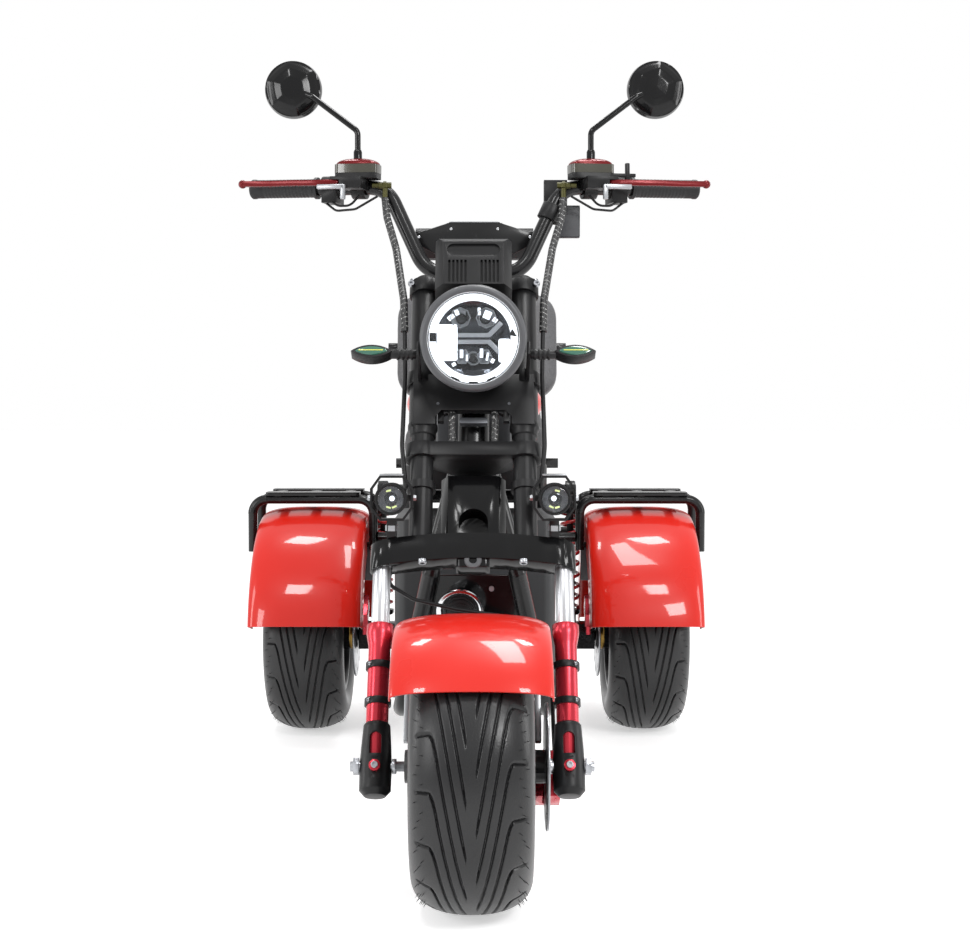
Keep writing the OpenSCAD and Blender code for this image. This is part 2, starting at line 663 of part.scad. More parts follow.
// Plane of the lower down tubes, leaning back below
module on_shield() { translate([0, 440, 480]) rotate([16.2, 0, 0]) children(); }
module horn() {
    color("#cfd2d4") on_shield() translate([-26, -16, -60]) rotate([90, 0, 0]) {
        cylinder(r = 30, h = 12);
        translate([0, 0, 11]) cylinder(r = horn_r - 4, h = 10);
        translate([0, 0, 20]) cylinder(r = horn_r, h = 8);
        translate([0, 0, 27]) cylinder(r = 22, h = 4);
        translate([0, 0, -14 + fit]) cylinder(r = 8, h = 16);
    }
}
module deck() {
    color("#2c2d2e") translate([0, 0, deck_z + fit]) {
        translate([0, 756, 0]) rounded_box(2 * deck_half, 360, 10, 40);
        translate([-106, 482, 0]) cube([212, 110, 10]);
    }
}
module battery_case() {
    color("#232426") difference() {
        translate([0, 805, deck_z + 10 + 2 * fit]) rounded_box(2 * case_half, 320, 330, 24);
        both() for (i = [0:3]) translate([case_half - 4, 700 + i * 60, 300]) cube([8, 30, 200]);
    }
}
// Teardrop tank between the steering head and the seat
module tank_cover() {
    color("#e0352b") difference() {
        hull() {
            translate([0, 585, 790]) scale([tank_half, 90, 66]) sphere(r = 1, $fn = 40);
            translate([0, 690, 772]) scale([tank_half - 10, 90, 62]) sphere(r = 1, $fn = 40);
            translate([0, 800, 730]) scale([62, 60, 40]) sphere(r = 1, $fn = 32);
        }
        spine_path(spine_r + 2);
        translate([-160, 800 - fit, 600]) cube([320, 120, 250]);
    }
}
module seat_pan() {
    color("#1b1b1c") difference() {
        translate([0, 1145, pan_low]) rounded_box(2 * seat_half - 30, 700, pan_top - pan_low, 60);
        spine_path(spine_r + 1);
    }
}
module seat_cushion() {
    color("#2a2a2b") translate([0, 0, pan_top + fit]) {
        translate([0, 1000, 0]) rounded_box(2 * seat_half, 400, 84, 70);
        translate([0, 1350, 0]) rounded_box(2 * seat_half, 304, 124, 60);
    }
}
module back_frame() { translate([0, 1500, 790]) rotate([-12, 0, 0]) children(); }
module backrest_cushion() {
    color("#2a2a2b") back_frame() translate([0, 34, 0]) rotate([90, 0, 0]) linear_extrude(66) {
        translate([0, 142]) rounded_rect(2 * back_half, 284, 60);
    }
}
module backrest_frame() {
    color("#1a1a1b") {
        back_frame() both() {
            pipe([[150, 45 + fit, -50], [150, 45 + fit, 250], [0, 45 + fit, 250]], 11, 50);
            translate([back_half - 30, 47, 150]) rotate([0, 90, 0]) cylinder(r = 12, h = 44);
            translate([140, 47, 150]) rotate([0, 90, 0]) cylinder(r = 7, h = 50);
        }
        both() rod([150, 1534, 744], [150, rear_y + 180, 605.7], 11);
    }
}
module rear_fenders() {
    color("#e8382b") both() translate([rear_fender_x, rear_y, tyre_r])
        fender(rear_fender_r, rear_fender_half, 34, 3, tyre_r - 10, rear_fender_lip, 0);
}
// Bent tube hoops over each fender, with flat slats across that carry the luggage holes
module fender_racks() {
    color("#161617") both() difference() {
        union() {
            for (s = [-1, 1]) {
                y = rear_y + s * 75;
                pipe([[rack_in_x, y, rack_z - 120], [rack_in_x, y, rack_z], [rack_out_x, y, rack_z],
                    [rack_out_x, y, rack_z - 124]], rack_r, 34);
                cross_bar(rack_in_x, rear_fender_x - rear_fender_half - fit, y, rack_z - 108, 7);
                cross_bar(rear_fender_x + rear_fender_half + fit, rack_out_x, y, rack_z - 108, 7);
            }
            for (s = [-1, 1])
                translate([rear_fender_x, rear_y + s * (luggage_y / 2 + 4), rack_z + rack_r - 2])
                    rounded_box(2 * rear_fender_half - 34, 50, 8, 8);
            for (i = [-1:1])
                translate([rear_fender_x + i * (luggage_x / 2 + 22), rear_y, rack_z + rack_r - 4])
                    rounded_box(24, 166, 8, 6);
        }
        for (sx = [-1, 1], sy = [-1, 1])
            translate([rear_fender_x + sx * luggage_x / 2, rear_y + sy * luggage_y / 2, rack_z])
                cylinder(r = luggage_hole_r, h = 40);
    }
}
// Swing arm with the axle beams and stub axles
module rear_axle() {
    color("#1c1c1e") {
        cross_bar(-119.6, 119.6, 1010, 258, 22);
        both() {
            rod([101, 1016, 258], [114, rear_y - 10, tyre_r + 2], 16);
            translate([92, rear_y - 30, tyre_r - 30]) cube([beam_end - 92, 60, 60]);
            cross_bar(beam_end - 2, rear_x + 82, rear_y, tyre_r, stub_r);
            translate([rear_x + 64 + end_gap, rear_y, tyre_r]) rotate([0, 90, 0]) hex_nut(36, 12);
        }
    }
}
module drive_motor() {
    color("#3a3c3f") {
        cross_bar(-91.6, 91.6, rear_y, tyre_r, 96);
        for (i = [-3:3]) cross_bar(i * 22 - 3, i * 22 + 3, rear_y, tyre_r, 102);
    }
}
module rear_shocks() {
    color("#8d9094") both() translate([226, rear_y, 0]) difference() {
        union() {
            translate([0, 0, tyre_r + 30 + fit]) cylinder(r = 15, h = 20);
            translate([0, 0, tyre_r + 48]) cylinder(r = 22, h = 14);
            translate([0, 0, tyre_r + 60]) cylinder(r = 13, h = 230);
            for (i = [0:10]) translate([0, 0, tyre_r + 68 + i * 22]) cylinder(r = 23, h = 9);
            translate([0, 0, 520]) cylinder(r = 22, h = 20);
            translate([-12, 0, 581]) rotate([0, 90, 0]) cylinder(r = 19, h = 24);
            translate([0, 0, 535]) cylinder(r = 11, h = 36);
        }
        translate([-30, 0, 581]) rotate([0, 90, 0]) cylinder(r = 10 + fit, h = 60);
    }
}
module rear_calipers() {
    color("#c22f33") both() translate([disc_x, rear_y, tyre_r]) difference() {
        union() {
            rotate([45, 0, 0]) translate([-34, -30, 72]) cube([56, 60, 48]);
            translate([-30, -66, 10]) cube([10, 46, 60]);
        }
        translate([-disc_t / 2 - 2.5, 0, 0]) rotate([0, 90, 0]) cylinder(r = disc_r + 5, h = disc_t + 5);
        translate([-60, -30 - fit, -60]) cube([80, 60 + 2 * fit, 90 + fit]);
    }
}
module tail_lamps() {
    color("#b5201f") {
        translate([-90, 1495 + fit, 616]) cube([180, 26, 40]);
        both() {
            cross_bar(88, 140, 1508, 636, 8);
            translate([139, 1490, 624]) cube([64, 24, 24]);
        }
    }
}

placed() frame();
placed() neck_cover();
placed() front_shield();
placed() horn();
placed() deck();
placed() battery_case();
placed() tank_cover();
placed() seat_pan();
placed() seat_cushion();
placed() backrest_cushion();
placed() backrest_frame();
placed() rear_fenders();
placed() fender_racks();
placed() rear_axle();
placed() drive_motor();
placed() rear_shocks();
placed() rear_calipers();
placed() tail_lamps();
placed() steering_clamps();
placed() fork_tubes();
placed() fork_bridge();
placed() chrome_rods();
placed() fork_legs();
placed() leg_caps();
placed() front_axle();
placed() front_caliper();
placed() front_fender();
placed() handlebar();
placed() grips();
placed() brake_masters();
placed() bar_boxes();
placed() reservoir_caps();
placed() brake_levers();
placed() mirrors();
placed() headlight_shell();
placed() headlight_lens();
placed() headlight_cowl();
placed() instrument_hood();
placed() front_indicators();
placed() spot_lamps();
placed() brake_hoses();
placed() front_tyre();
placed() front_rim();
placed() rear_left_tyre();
placed() rear_left_rim();
placed() rear_right_tyre();
placed() rear_right_rim();
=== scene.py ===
import json
import math
import bpy
import bmesh
from mathutils import Matrix, Vector


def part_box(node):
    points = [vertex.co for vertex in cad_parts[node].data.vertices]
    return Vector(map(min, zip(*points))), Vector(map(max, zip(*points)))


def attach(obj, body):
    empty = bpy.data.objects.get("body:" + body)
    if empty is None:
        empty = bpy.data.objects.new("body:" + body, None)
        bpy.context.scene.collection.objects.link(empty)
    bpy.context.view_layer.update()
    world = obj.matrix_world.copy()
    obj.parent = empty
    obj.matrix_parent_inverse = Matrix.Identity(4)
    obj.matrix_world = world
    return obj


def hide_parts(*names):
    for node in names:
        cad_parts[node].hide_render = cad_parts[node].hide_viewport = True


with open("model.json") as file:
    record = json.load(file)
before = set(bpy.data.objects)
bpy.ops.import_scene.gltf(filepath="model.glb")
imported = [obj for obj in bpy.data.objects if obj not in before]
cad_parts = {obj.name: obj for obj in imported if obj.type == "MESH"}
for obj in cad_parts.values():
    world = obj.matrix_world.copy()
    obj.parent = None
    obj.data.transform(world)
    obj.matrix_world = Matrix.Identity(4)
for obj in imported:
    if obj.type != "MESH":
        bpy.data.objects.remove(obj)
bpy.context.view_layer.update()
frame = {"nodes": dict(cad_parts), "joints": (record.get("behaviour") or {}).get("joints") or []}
mm = 0.001
nodes = frame["nodes"]
quarterX = Matrix.Rotation(math.pi / 2, 4, "X")
quarterY = Matrix.Rotation(math.pi / 2, 4, "Y")

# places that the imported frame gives
tyreLow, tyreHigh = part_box("front_tyre")
frontAxle = (tyreLow + tyreHigh) / 2
steeringAxis = Vector(next(j["axis"] for j in frame["joints"] if j["name"] == "steering"))
rake = math.atan2(abs(steeringAxis.y), abs(steeringAxis.z))
forkFrame = Matrix.Translation(frontAxle) @ Matrix.Rotation(-rake, 4, "X")


def spot(x, back, up):  # mm from the middle, behind the front axle, above the floor
    return Vector((x * mm, frontAxle.y + back * mm, up * mm))


def shifted(x, y, z):  # a move in mm
    return Matrix.Translation(Vector((x, y, z)) * mm)


def forkSpot(x, behind, along):  # mm across, behind the fork line, up along the fork
    return forkFrame @ Vector((x * mm, behind * mm, along * mm))


barLook = {"rise": 164, "sweep": 26, "knee": 165, "half": 425, "endSweep": 91, "endRise": 168, "bend": 60,
           "radius": 14, "clamp": 90}
barBase = forkSpot(0, 40, 959)
barKnee = barBase + Vector((barLook["knee"], barLook["sweep"], barLook["rise"])) * mm
barEnd = barBase + Vector((barLook["half"], barLook["endSweep"], barLook["endRise"])) * mm
gripRun = (barEnd - barKnee).length / mm
gripFrame = Matrix.Translation(barKnee) @ (barEnd - barKnee).to_track_quat("X", "Z").to_matrix().to_4x4()
lampFace = forkSpot(0, -135, 707)

# camera
cameraLook = {"lens": 58.34, "sensor": 36, "place": (0.020, -3.1655, 0.812), "down": 2.79}
cameraData = bpy.data.cameras.new("photoCamera")
cameraData.lens = cameraLook["lens"]
cameraData.sensor_width = cameraLook["sensor"]
camera = bpy.data.objects.new("photoCamera", cameraData)
camera.location = cameraLook["place"]
camera.rotation_euler = (math.radians(90 - cameraLook["down"]), 0, 0)
bpy.context.scene.collection.objects.link(camera)
bpy.context.scene.camera = camera
bpy.context.scene.view_settings.view_transform = "Standard"
print("camera and frame ready")


# node groups that several finishes share
def newGroup(name, inputs, outputs):
    group = bpy.data.node_groups.new(name, "ShaderNodeTree")
    for label, kind, value in inputs:
        socket = group.interface.new_socket(label, in_out="INPUT", socket_type=kind)
        if value is not None:
            socket.default_value = value
    for label, kind in outputs:
        group.interface.new_socket(label, in_out="OUTPUT", socket_type=kind)
    return group, group.nodes.new("NodeGroupInput"), group.nodes.new("NodeGroupOutput")


def mathNode(tree, operation, first, second, clamp=False):
    step = tree.nodes.new("ShaderNodeMath")
    step.operation = operation
    step.use_clamp = clamp
    for slot, value in enumerate((first, second)):
        if isinstance(value, (int, float)):
            step.inputs[slot].default_value = value
        else:
            tree.links.new(value, step.inputs[slot])
    return step.outputs[0]


def mixColor(tree, factor, first, second, blend="MIX"):
    mix = tree.nodes.new("ShaderNodeMix")
    mix.data_type = "RGBA"
    mix.blend_type = blend
    for slot, value in ((0, factor), (6, first), (7, second)):
        if isinstance(value, (int, float, tuple, list)):
            mix.inputs[slot].default_value = value
        else:
            tree.links.new(value, mix.inputs[slot])
    return mix.outputs[2]


def noise(tree, vector, scale, detail=3.0):
    texture = tree.nodes.new("ShaderNodeTexNoise")
    texture.inputs["Detail"].default_value = detail
    tree.links.new(vector, texture.inputs["Vector"])
    if isinstance(scale, (int, float)):
        texture.inputs["Scale"].default_value = scale
    else:
        tree.links.new(scale, texture.inputs["Scale"])
    return texture.outputs["Fac"]


def makeGrain():
    look = {"cloud": 9.0, "dark": 0.78, "toneGain": 4.0, "roughGain": 2.0}
    group, given, result = newGroup(
        "fineGrain",
        (("Vector", "NodeSocketVector", None), ("Scale", "NodeSocketFloat", 400.0),
         ("Color", "NodeSocketColor", (0.5, 0.5, 0.5, 1)), ("Tone", "NodeSocketFloat", 0.1),
         ("Roughness", "NodeSocketFloat", 0.4), ("Spread", "NodeSocketFloat", 0.1)),
        (("Color", "NodeSocketColor"), ("Roughness", "NodeSocketFloat"), ("Height", "NodeSocketFloat")))
    cloud = noise(group, given.outputs["Vector"], look["cloud"], 4.0)
    grain = noise(group, given.outputs["Vector"], given.outputs["Scale"], 2.0)
    shift = mathNode(group, "MULTIPLY", mathNode(group, "SUBTRACT", cloud, 0.5), given.outputs["Tone"])
    shade = (look["dark"], look["dark"], look["dark"], 1)
    dark = mixColor(group, 1.0, given.outputs["Color"], shade, "MULTIPLY")
    tone = mathNode(group, "ADD", mathNode(group, "MULTIPLY", shift, look["toneGain"]), look["dark"], True)
    group.links.new(mixColor(group, tone, dark, given.outputs["Color"]), result.inputs["Color"])
    swing = mathNode(group, "MULTIPLY", mathNode(group, "SUBTRACT", cloud, 0.5), given.outputs["Spread"])
    swing = mathNode(group, "MULTIPLY", swing, look["roughGain"])
    rough = mathNode(group, "ADD", swing, given.outputs["Roughness"], True)
    group.links.new(rough, result.inputs["Roughness"])
    group.links.new(grain, result.inputs["Height"])
    return group


def makeWear():
    look = {"broad": 26.0, "fine": 180.0, "from": 0.34, "gain": 9.0}
    group, given, result = newGroup(
        "rubbedEdges",
        (("Vector", "NodeSocketVector", None), ("Color", "NodeSocketColor", (0.1, 0.1, 0.1, 1)),
         ("Bare", "NodeSocketColor", (0.4, 0.4, 0.4, 1)), ("Amount", "NodeSocketFloat", 0.3)),
        (("Color", "NodeSocketColor"), ("Mask", "NodeSocketFloat")))
    broad = noise(group, given.outputs["Vector"], look["broad"], 6.0)
    fine = noise(group, given.outputs["Vector"], look["fine"], 4.0)
    both = mathNode(group, "MULTIPLY", broad, fine)
    mask = mathNode(group, "MULTIPLY", mathNode(group, "SUBTRACT", both, look["from"]), look["gain"], True)
    mask = mathNode(group, "MULTIPLY", mask, given.outputs["Amount"])
    color = mixColor(group, mask, given.outputs["Color"], given.outputs["Bare"])
    group.links.new(color, result.inputs["Color"])
    group.links.new(mask, result.inputs["Mask"])
    return group


fineGrain = makeGrain()
rubbedEdges = makeWear()


def linear(red, green, blue):  # sRGB 0..255 to the linear colour that a socket takes
    def one(value):
        value /= 255
        return value / 12.92 if value <= 0.04045 else ((value + 0.055) / 1.055) ** 2.4
    return (one(red), one(green), one(blue), 1)


def finish(color, rough, scale, bump, tone, **more):  # more: metal, coat, shine and wear where they differ
    return {"color": color, "rough": rough, "scale": scale, "bump": bump, "tone": tone, **more}


# colour in sRGB, roughness, then the grain's scale, bump and spread of tone
finishes = {
    "redPaint": finish((200, 32, 21), 0.30, 900, 0.004, 0.05, coat=0.5, shine=0.15),
    "redAnodised": finish((186, 44, 58), 0.27, 1400, 0.03, 0.10, metal=0.6),
    "leverRed": finish((100, 8, 14), 0.26, 1400, 0.03, 0.15, metal=0.3, shine=0.3),
    "springRed": finish((184, 30, 34), 0.32, 700, 0.02, 0.1, coat=0.4),
    "blackGloss": finish((12, 12, 13), 0.18, 700, 0.004, 0.08, coat=0.14, shine=0.16),
    "blackSatin": finish((24, 24, 25), 0.40, 1600, 0.05, 0.12, shine=0.22),
    "blackTube": finish((17, 17, 18), 0.27, 1100, 0.02, 0.10, coat=0.15, shine=0.22, wear=0.10),
    "greyMould": finish((66, 67, 70), 0.46, 1500, 0.05, 0.12),
    "chrome": finish((214, 216, 219), 0.10, 600, 0.003, 0.04, metal=1.0),
    "steel": finish((158, 160, 164), 0.32, 1300, 0.02, 0.12, metal=1.0),
    "castAlloy": finish((92, 94, 98), 0.44, 900, 0.09, 0.15, metal=0.8),
    "brass": finish((168, 134, 70), 0.32, 900, 0.01, 0.1, metal=1.0),
    "oliveBrass": finish((64, 62, 26), 0.4, 900, 0.01, 0.2, metal=0.6),
    "rodSteel": finish((186, 187, 190), 0.36, 900, 0.01, 0.08, metal=1.0),
    "paleMetal": finish((158, 160, 163), 0.36, 1300, 0.02, 0.12, metal=0.7),
    "deckRubber": finish((38, 38, 39), 0.75, 500, 0.25, 0.2),
    "caseBlack": finish((30, 31, 33), 0.5, 800, 0.12, 0.12),
    "gripRubber": finish((26, 26, 27), 0.5, 900, 0.12, 0.15, shine=0.3),
    "mirrorGlass": finish((226, 230, 234), 0.03, 40, 0.0, 0.02, metal=1.0),
    "screen": finish((9, 10, 13), 0.06, 60, 0.0, 0.05, coat=0.4, shine=0.2),
    "darkReflector": finish((58, 60, 64), 0.16, 300, 0.02, 0.4, metal=0.9),
    "hazeBand": finish((60, 58, 49), 0.14, 500, 0.01, 0.6, coat=0.4, shine=0.3),
    "signalLens": finish((34, 92, 74), 0.10, 260, 0.08, 0.5, coat=1.0),
    "signalLine": finish((206, 208, 92), 0.2, 200, 0.0, 0.2, coat=0.5),
}


def startMaterial(name):
    material = bpy.data.materials.new(name)
    material.use_nodes = True
    tree = material.node_tree
    shader = tree.nodes["Principled BSDF"]
    coords = tree.nodes.new("ShaderNodeTexCoord")
    return material, tree, shader, coords.outputs["Object"]


def bumpFrom(tree, shader, height, strength, distance=0.001):
    bump = tree.nodes.new("ShaderNodeBump")
    bump.inputs["Strength"].default_value = strength
    bump.inputs["Distance"].default_value = distance
    tree.links.new(height, bump.inputs["Height"])
    tree.links.new(bump.outputs["Normal"], shader.inputs["Normal"])


def grainNode(tree, vector, color, look):
    grain = tree.nodes.new("ShaderNodeGroup")
    grain.node_tree = fineGrain
    tree.links.new(vector, grain.inputs["Vector"])
    grain.inputs["Scale"].default_value = look["scale"]
    grain.inputs["Tone"].default_value = look["tone"]
    grain.inputs["Roughness"].default_value = look["rough"]
    grain.inputs["Spread"].default_value = look.get("spread", 0.08)
    if isinstance(color, tuple):
        grain.inputs["Color"].default_value = color
    else:
        tree.links.new(color, grain.inputs["Color"])
    return grain


def makeFinish(name):
    look = finishes[name]
    material, tree, shader, place = startMaterial(name)
    grain = grainNode(tree, place, linear(*look["color"]), look)
    color = grain.outputs["Color"]
    if look.get("wear"):
        wear = tree.nodes.new("ShaderNodeGroup")
        wear.node_tree = rubbedEdges
        tree.links.new(place, wear.inputs["Vector"])
        tree.links.new(color, wear.inputs["Color"])
        wear.inputs["Bare"].default_value = linear(96, 97, 100)
        wear.inputs["Amount"].default_value = look["wear"]
        color = wear.outputs["Color"]
    tree.links.new(color, shader.inputs["Base Color"])
    tree.links.new(grain.outputs["Roughness"], shader.inputs["Roughness"])
    shader.inputs["Metallic"].default_value = look.get("metal", 0.0)
    shader.inputs["Coat Weight"].default_value = look.get("coat", 0.0)
    shader.inputs["Coat Roughness"].default_value = 0.05
    shader.inputs["Specular IOR Level"].default_value = look.get("shine", 0.5)
    if look["bump"]:
        bumpFrom(tree, shader, grain.outputs["Height"], look["bump"])
    return material


skins = {name: makeFinish(name) for name in finishes}


def makeRubber():
    look = {"color": (30, 30, 31), "scale": 420, "tone": 0.25, "rough": 0.34, "spread": 0.12, "shine": 0.34,
            "bump": 0.25}
    material, tree, shader, place = startMaterial("tyreRubber")
    shader.inputs["Specular IOR Level"].default_value = look["shine"]
    grain = grainNode(tree, place, linear(*look["color"]), look)
    tree.links.new(grain.outputs["Color"], shader.inputs["Base Color"])
    tree.links.new(grain.outputs["Roughness"], shader.inputs["Roughness"])
    bumpFrom(tree, shader, grain.outputs["Height"], look["bump"])
    return material


def makeLeather(name, tone):
    look = {"scale": 260, "tone": 0.18, "rough": 0.46, "spread": 0.14, "pores": 420,
            "shade": (0.6, 0.6, 0.62), "sheen": 0.08, "bump": 0.35, "depth": 0.0006}
    material, tree, shader, place = startMaterial(name)
    grain = grainNode(tree, place, linear(tone, tone, tone + 2), look)
    pores = tree.nodes.new("ShaderNodeTexVoronoi")
    pores.feature = "DISTANCE_TO_EDGE"
    pores.inputs["Scale"].default_value = look["pores"]
    tree.links.new(place, pores.inputs["Vector"])
    # painted shade: the grain's crease lines are darkened in colour, on top of their bump
    crease = mathNode(tree, "MULTIPLY", pores.outputs["Distance"], 3.0, True)
    paintedCreaseShade = linear(*[tone * share for share in look["shade"]])
    color = mixColor(tree, crease, paintedCreaseShade, grain.outputs["Color"])
    tree.links.new(color, shader.inputs["Base Color"])
    tree.links.new(grain.outputs["Roughness"], shader.inputs["Roughness"])
    shader.inputs["Sheen Weight"].default_value = look["sheen"]
    bumpFrom(tree, shader, crease, look["bump"], look["depth"])
    return material


def makeWrapped():  # dark sleeve with a pale spiral of flecks, along the hose by its own map
    look = {"sleeve": (20, 20, 21), "fleck": (196, 196, 194), "bandFrom": 0.80, "grain": 620.0,
            "fleckFrom": 0.56, "rough": 0.45, "bandRough": 0.15, "bump": 0.6, "depth": 0.0015}
    material, tree, shader, place = startMaterial("wrappedHose")
    uv = tree.nodes.new("ShaderNodeUVMap")
    uv.uv_map = "run"
    split = tree.nodes.new("ShaderNodeSeparateXYZ")
    tree.links.new(uv.outputs["UV"], split.inputs[0])
    turn = mathNode(tree, "FRACT", mathNode(tree, "ADD", split.outputs[0], split.outputs[1]), 0.0)
    band = mathNode(tree, "GREATER_THAN", turn, look["bandFrom"])
    fleck = mathNode(tree, "GREATER_THAN", noise(tree, place, look["grain"], 1.0), look["fleckFrom"])
    pale = mathNode(tree, "MULTIPLY", band, fleck)
    color = mixColor(tree, pale, linear(*look["sleeve"]), linear(*look["fleck"]))
    tree.links.new(color, shader.inputs["Base Color"])
    rough = mathNode(tree, "ADD", mathNode(tree, "MULTIPLY", band, look["bandRough"]), look["rough"])
    tree.links.new(rough, shader.inputs["Roughness"])
    bumpFrom(tree, shader, band, look["bump"], look["depth"])
    return material


def makeGlow(name, color, strength, rough=0.3):
    material, tree, shader, place = startMaterial(name)
    shade = noise(tree, place, 90.0, 1.0)
    tint = mixColor(tree, mathNode(tree, "MULTIPLY", shade, 0.25), linear(*color), (1, 1, 1, 1))
    tree.links.new(tint, shader.inputs["Emission Color"])
    tree.links.new(tint, shader.inputs["Base Color"])
    shader.inputs["Emission Strength"].default_value = strength
    shader.inputs["Roughness"].default_value = rough
    return material


def makeGlass(name, color, rough):
    material, tree, shader, place = startMaterial(name)
    smear = mathNode(tree, "MULTIPLY", noise(tree, place, 14.0, 3.0), rough)
    tree.links.new(smear, shader.inputs["Roughness"])
    shader.inputs["Base Color"].default_value = linear(*color)
    shader.inputs["Transmission Weight"].default_value = 1.0
    shader.inputs["IOR"].default_value = 1.3
    return material


def makeDisc(name, centre, slabX):  # cast black rim whose brake disc, a thin slab, is bare turned steel
    look = {"scale": 700, "tone": 0.1, "rough": 0.3, "half": 0.0032, "hub": 0.046, "rings": 5200.0,
            "rim": (24, 24, 26), "dark": (120, 122, 126), "bright": (186, 188, 190)}
    material, tree, shader, place = startMaterial(name)
    mapping = tree.nodes.new("ShaderNodeMapping")
    mapping.inputs["Location"].default_value = (-slabX, -centre.y, -centre.z)
    tree.links.new(place, mapping.inputs["Vector"])
    split = tree.nodes.new("ShaderNodeSeparateXYZ")
    tree.links.new(mapping.outputs[0], split.inputs[0])
    squares = [mathNode(tree, "MULTIPLY", split.outputs[axis], split.outputs[axis]) for axis in (1, 2)]
    radius = mathNode(tree, "SQRT", mathNode(tree, "ADD", *squares), 0.0)
    slab = mathNode(tree, "LESS_THAN", mathNode(tree, "ABSOLUTE", split.outputs[0], 0.0), look["half"])
    isDisc = mathNode(tree, "MULTIPLY", slab, mathNode(tree, "GREATER_THAN", radius, look["hub"]))
    rings = mathNode(tree, "SINE", mathNode(tree, "MULTIPLY", radius, look["rings"]), 0.0)
    ringTone = mathNode(tree, "ADD", mathNode(tree, "MULTIPLY", rings, 0.2), 0.5)
    steelTone = mixColor(tree, ringTone, linear(*look["dark"]), linear(*look["bright"]))
    grain = grainNode(tree, place, mixColor(tree, isDisc, linear(*look["rim"]), steelTone), look)
    tree.links.new(grain.outputs["Color"], shader.inputs["Base Color"])
    tree.links.new(grain.outputs["Roughness"], shader.inputs["Roughness"])
    tree.links.new(isDisc, shader.inputs["Metallic"])
    bumpFrom(tree, shader, mathNode(tree, "MULTIPLY", rings, isDisc), 0.05)
    return material


def makeTail():  # red lamp in the middle, dark arms outside it
    look = {"lamp": (150, 12, 14), "arm": (24, 24, 25), "armFrom": 0.075, "scale": 240, "tone": 0.3,
            "rough": 0.16, "bump": 0.1}
    material, tree, shader, place = startMaterial("tailLamp")
    split = tree.nodes.new("ShaderNodeSeparateXYZ")
    tree.links.new(place, split.inputs[0])
    arm = mathNode(tree, "GREATER_THAN", mathNode(tree, "ABSOLUTE", split.outputs[0], 0.0), look["armFrom"])
    grain = grainNode(tree, place, mixColor(tree, arm, linear(*look["lamp"]), linear(*look["arm"])), look)
    tree.links.new(grain.outputs["Color"], shader.inputs["Base Color"])
    tree.links.new(grain.outputs["Roughness"], shader.inputs["Roughness"])
    bumpFrom(tree, shader, grain.outputs["Height"], look["bump"])
    return material


skins["rubber"] = makeRubber()
skins["tail"] = makeTail()
skins["leather"] = makeLeather("seatLeather", 46)
skins["backLeather"] = makeLeather("backLeather", 92)
skins["wrapped"] = makeWrapped()
skins["haloLight"] = makeGlow("haloLight", (250, 252, 255), 1.15)
# this glow lights the headlight's cells and also paints the spot lamps' glint, a painted highlight
skins["ledAndPaintedGlint"] = makeGlow("ledAndPaintedGlint", (236, 240, 246), 0.75)
# painted highlight: yellow-green glow for the tints in the spot lamps' unlit lenses
skins["paintedSpotTint"] = makeGlow("paintedSpotTint", (196, 206, 110), 0.55)
skins["clearGlass"] = makeGlass("clearGlass", (246, 249, 252), 0.04)
print("finishes ready:", len(skins))


# mesh helpers: each gives a bmesh in the shared frame
def lathe(points, place, steps, closed=False):  # points are (radius, along) in mm, turned about local Z
    bm = bmesh.new()
    verts = [bm.verts.new((radius * mm, 0, along * mm)) for radius, along in points]
    edges = [bm.edges.new(pair) for pair in zip(verts, verts[1:])]
    if closed:
        edges.append(bm.edges.new((verts[-1], verts[0])))
    bmesh.ops.spin(bm, geom=verts + edges, cent=(0, 0, 0), axis=(0, 0, 1), dvec=(0, 0, 0), angle=math.tau,
                   steps=steps, use_merge=True, use_duplicate=False)
    bmesh.ops.remove_doubles(bm, verts=bm.verts, dist=1e-6)
    bmesh.ops.recalc_face_normals(bm, faces=bm.faces)
    bmesh.ops.transform(bm, matrix=place, verts=bm.verts)
    return bm


def block(size, place, bevel):  # size in mm, middle at the place
    bm = bmesh.new()
    bmesh.ops.create_cube(bm, size=1)
    bmesh.ops.scale(bm, vec=Vector(size) * mm, verts=bm.verts)
    if bevel:
        bmesh.ops.bevel(bm, geom=bm.edges[:], offset=bevel * mm, segments=2, profile=0.5, material=-1,
                        affect="EDGES", clamp_overlap=True)
    bmesh.ops.transform(bm, matrix=place, verts=bm.verts)
    return bm


def plate(outline, thickness, place, bevel):  # outline in mm in local XY, grown along +Z
    bm = bmesh.new()
    face = bm.faces.new([bm.verts.new((x * mm, y * mm, 0)) for x, y in outline])
    grown = bmesh.ops.extrude_face_region(bm, geom=[face])["geom"]
    moved = [item for item in grown if isinstance(item, bmesh.types.BMVert)]
    bmesh.ops.translate(bm, vec=(0, 0, thickness * mm), verts=moved)
    bmesh.ops.recalc_face_normals(bm, faces=bm.faces)
    sharp = [edge for edge in bm.edges if edge.calc_face_angle(0) > 0.6]
    bmesh.ops.bevel(bm, geom=sharp, offset=bevel * mm, segments=2, profile=0.5, material=-1, affect="EDGES",
                    clamp_overlap=True)
    bmesh.ops.transform(bm, matrix=place, verts=bm.verts)
    return bm


def rounded(points, bend, steps):  # corner points with arcs of about that bend radius, all in metres
    path = [points[0]]
    for before, corner, after in zip(points, points[1:], points[2:]):
        back, ahead = (before - corner).normalized(), (after - corner).normalized()
        angle = back.angle(ahead)
        reach = min(bend / math.tan(angle / 2), 0.48 * min((before - corner).length, (after - corner).length))
        start, stop = corner + back * reach, corner + ahead * reach
        for step in range(steps + 1):
            t = step / steps
            path.append(start * (1 - t) ** 2 + corner * (2 * t * (1 - t)) + stop * t ** 2)
    path.append(points[-1])
    return path


def aimed(place, direction):  # local Z along the direction
    return Matrix.Translation(place) @ Vector(direction).to_track_quat("Z", "Y").to_matrix().to_4x4()


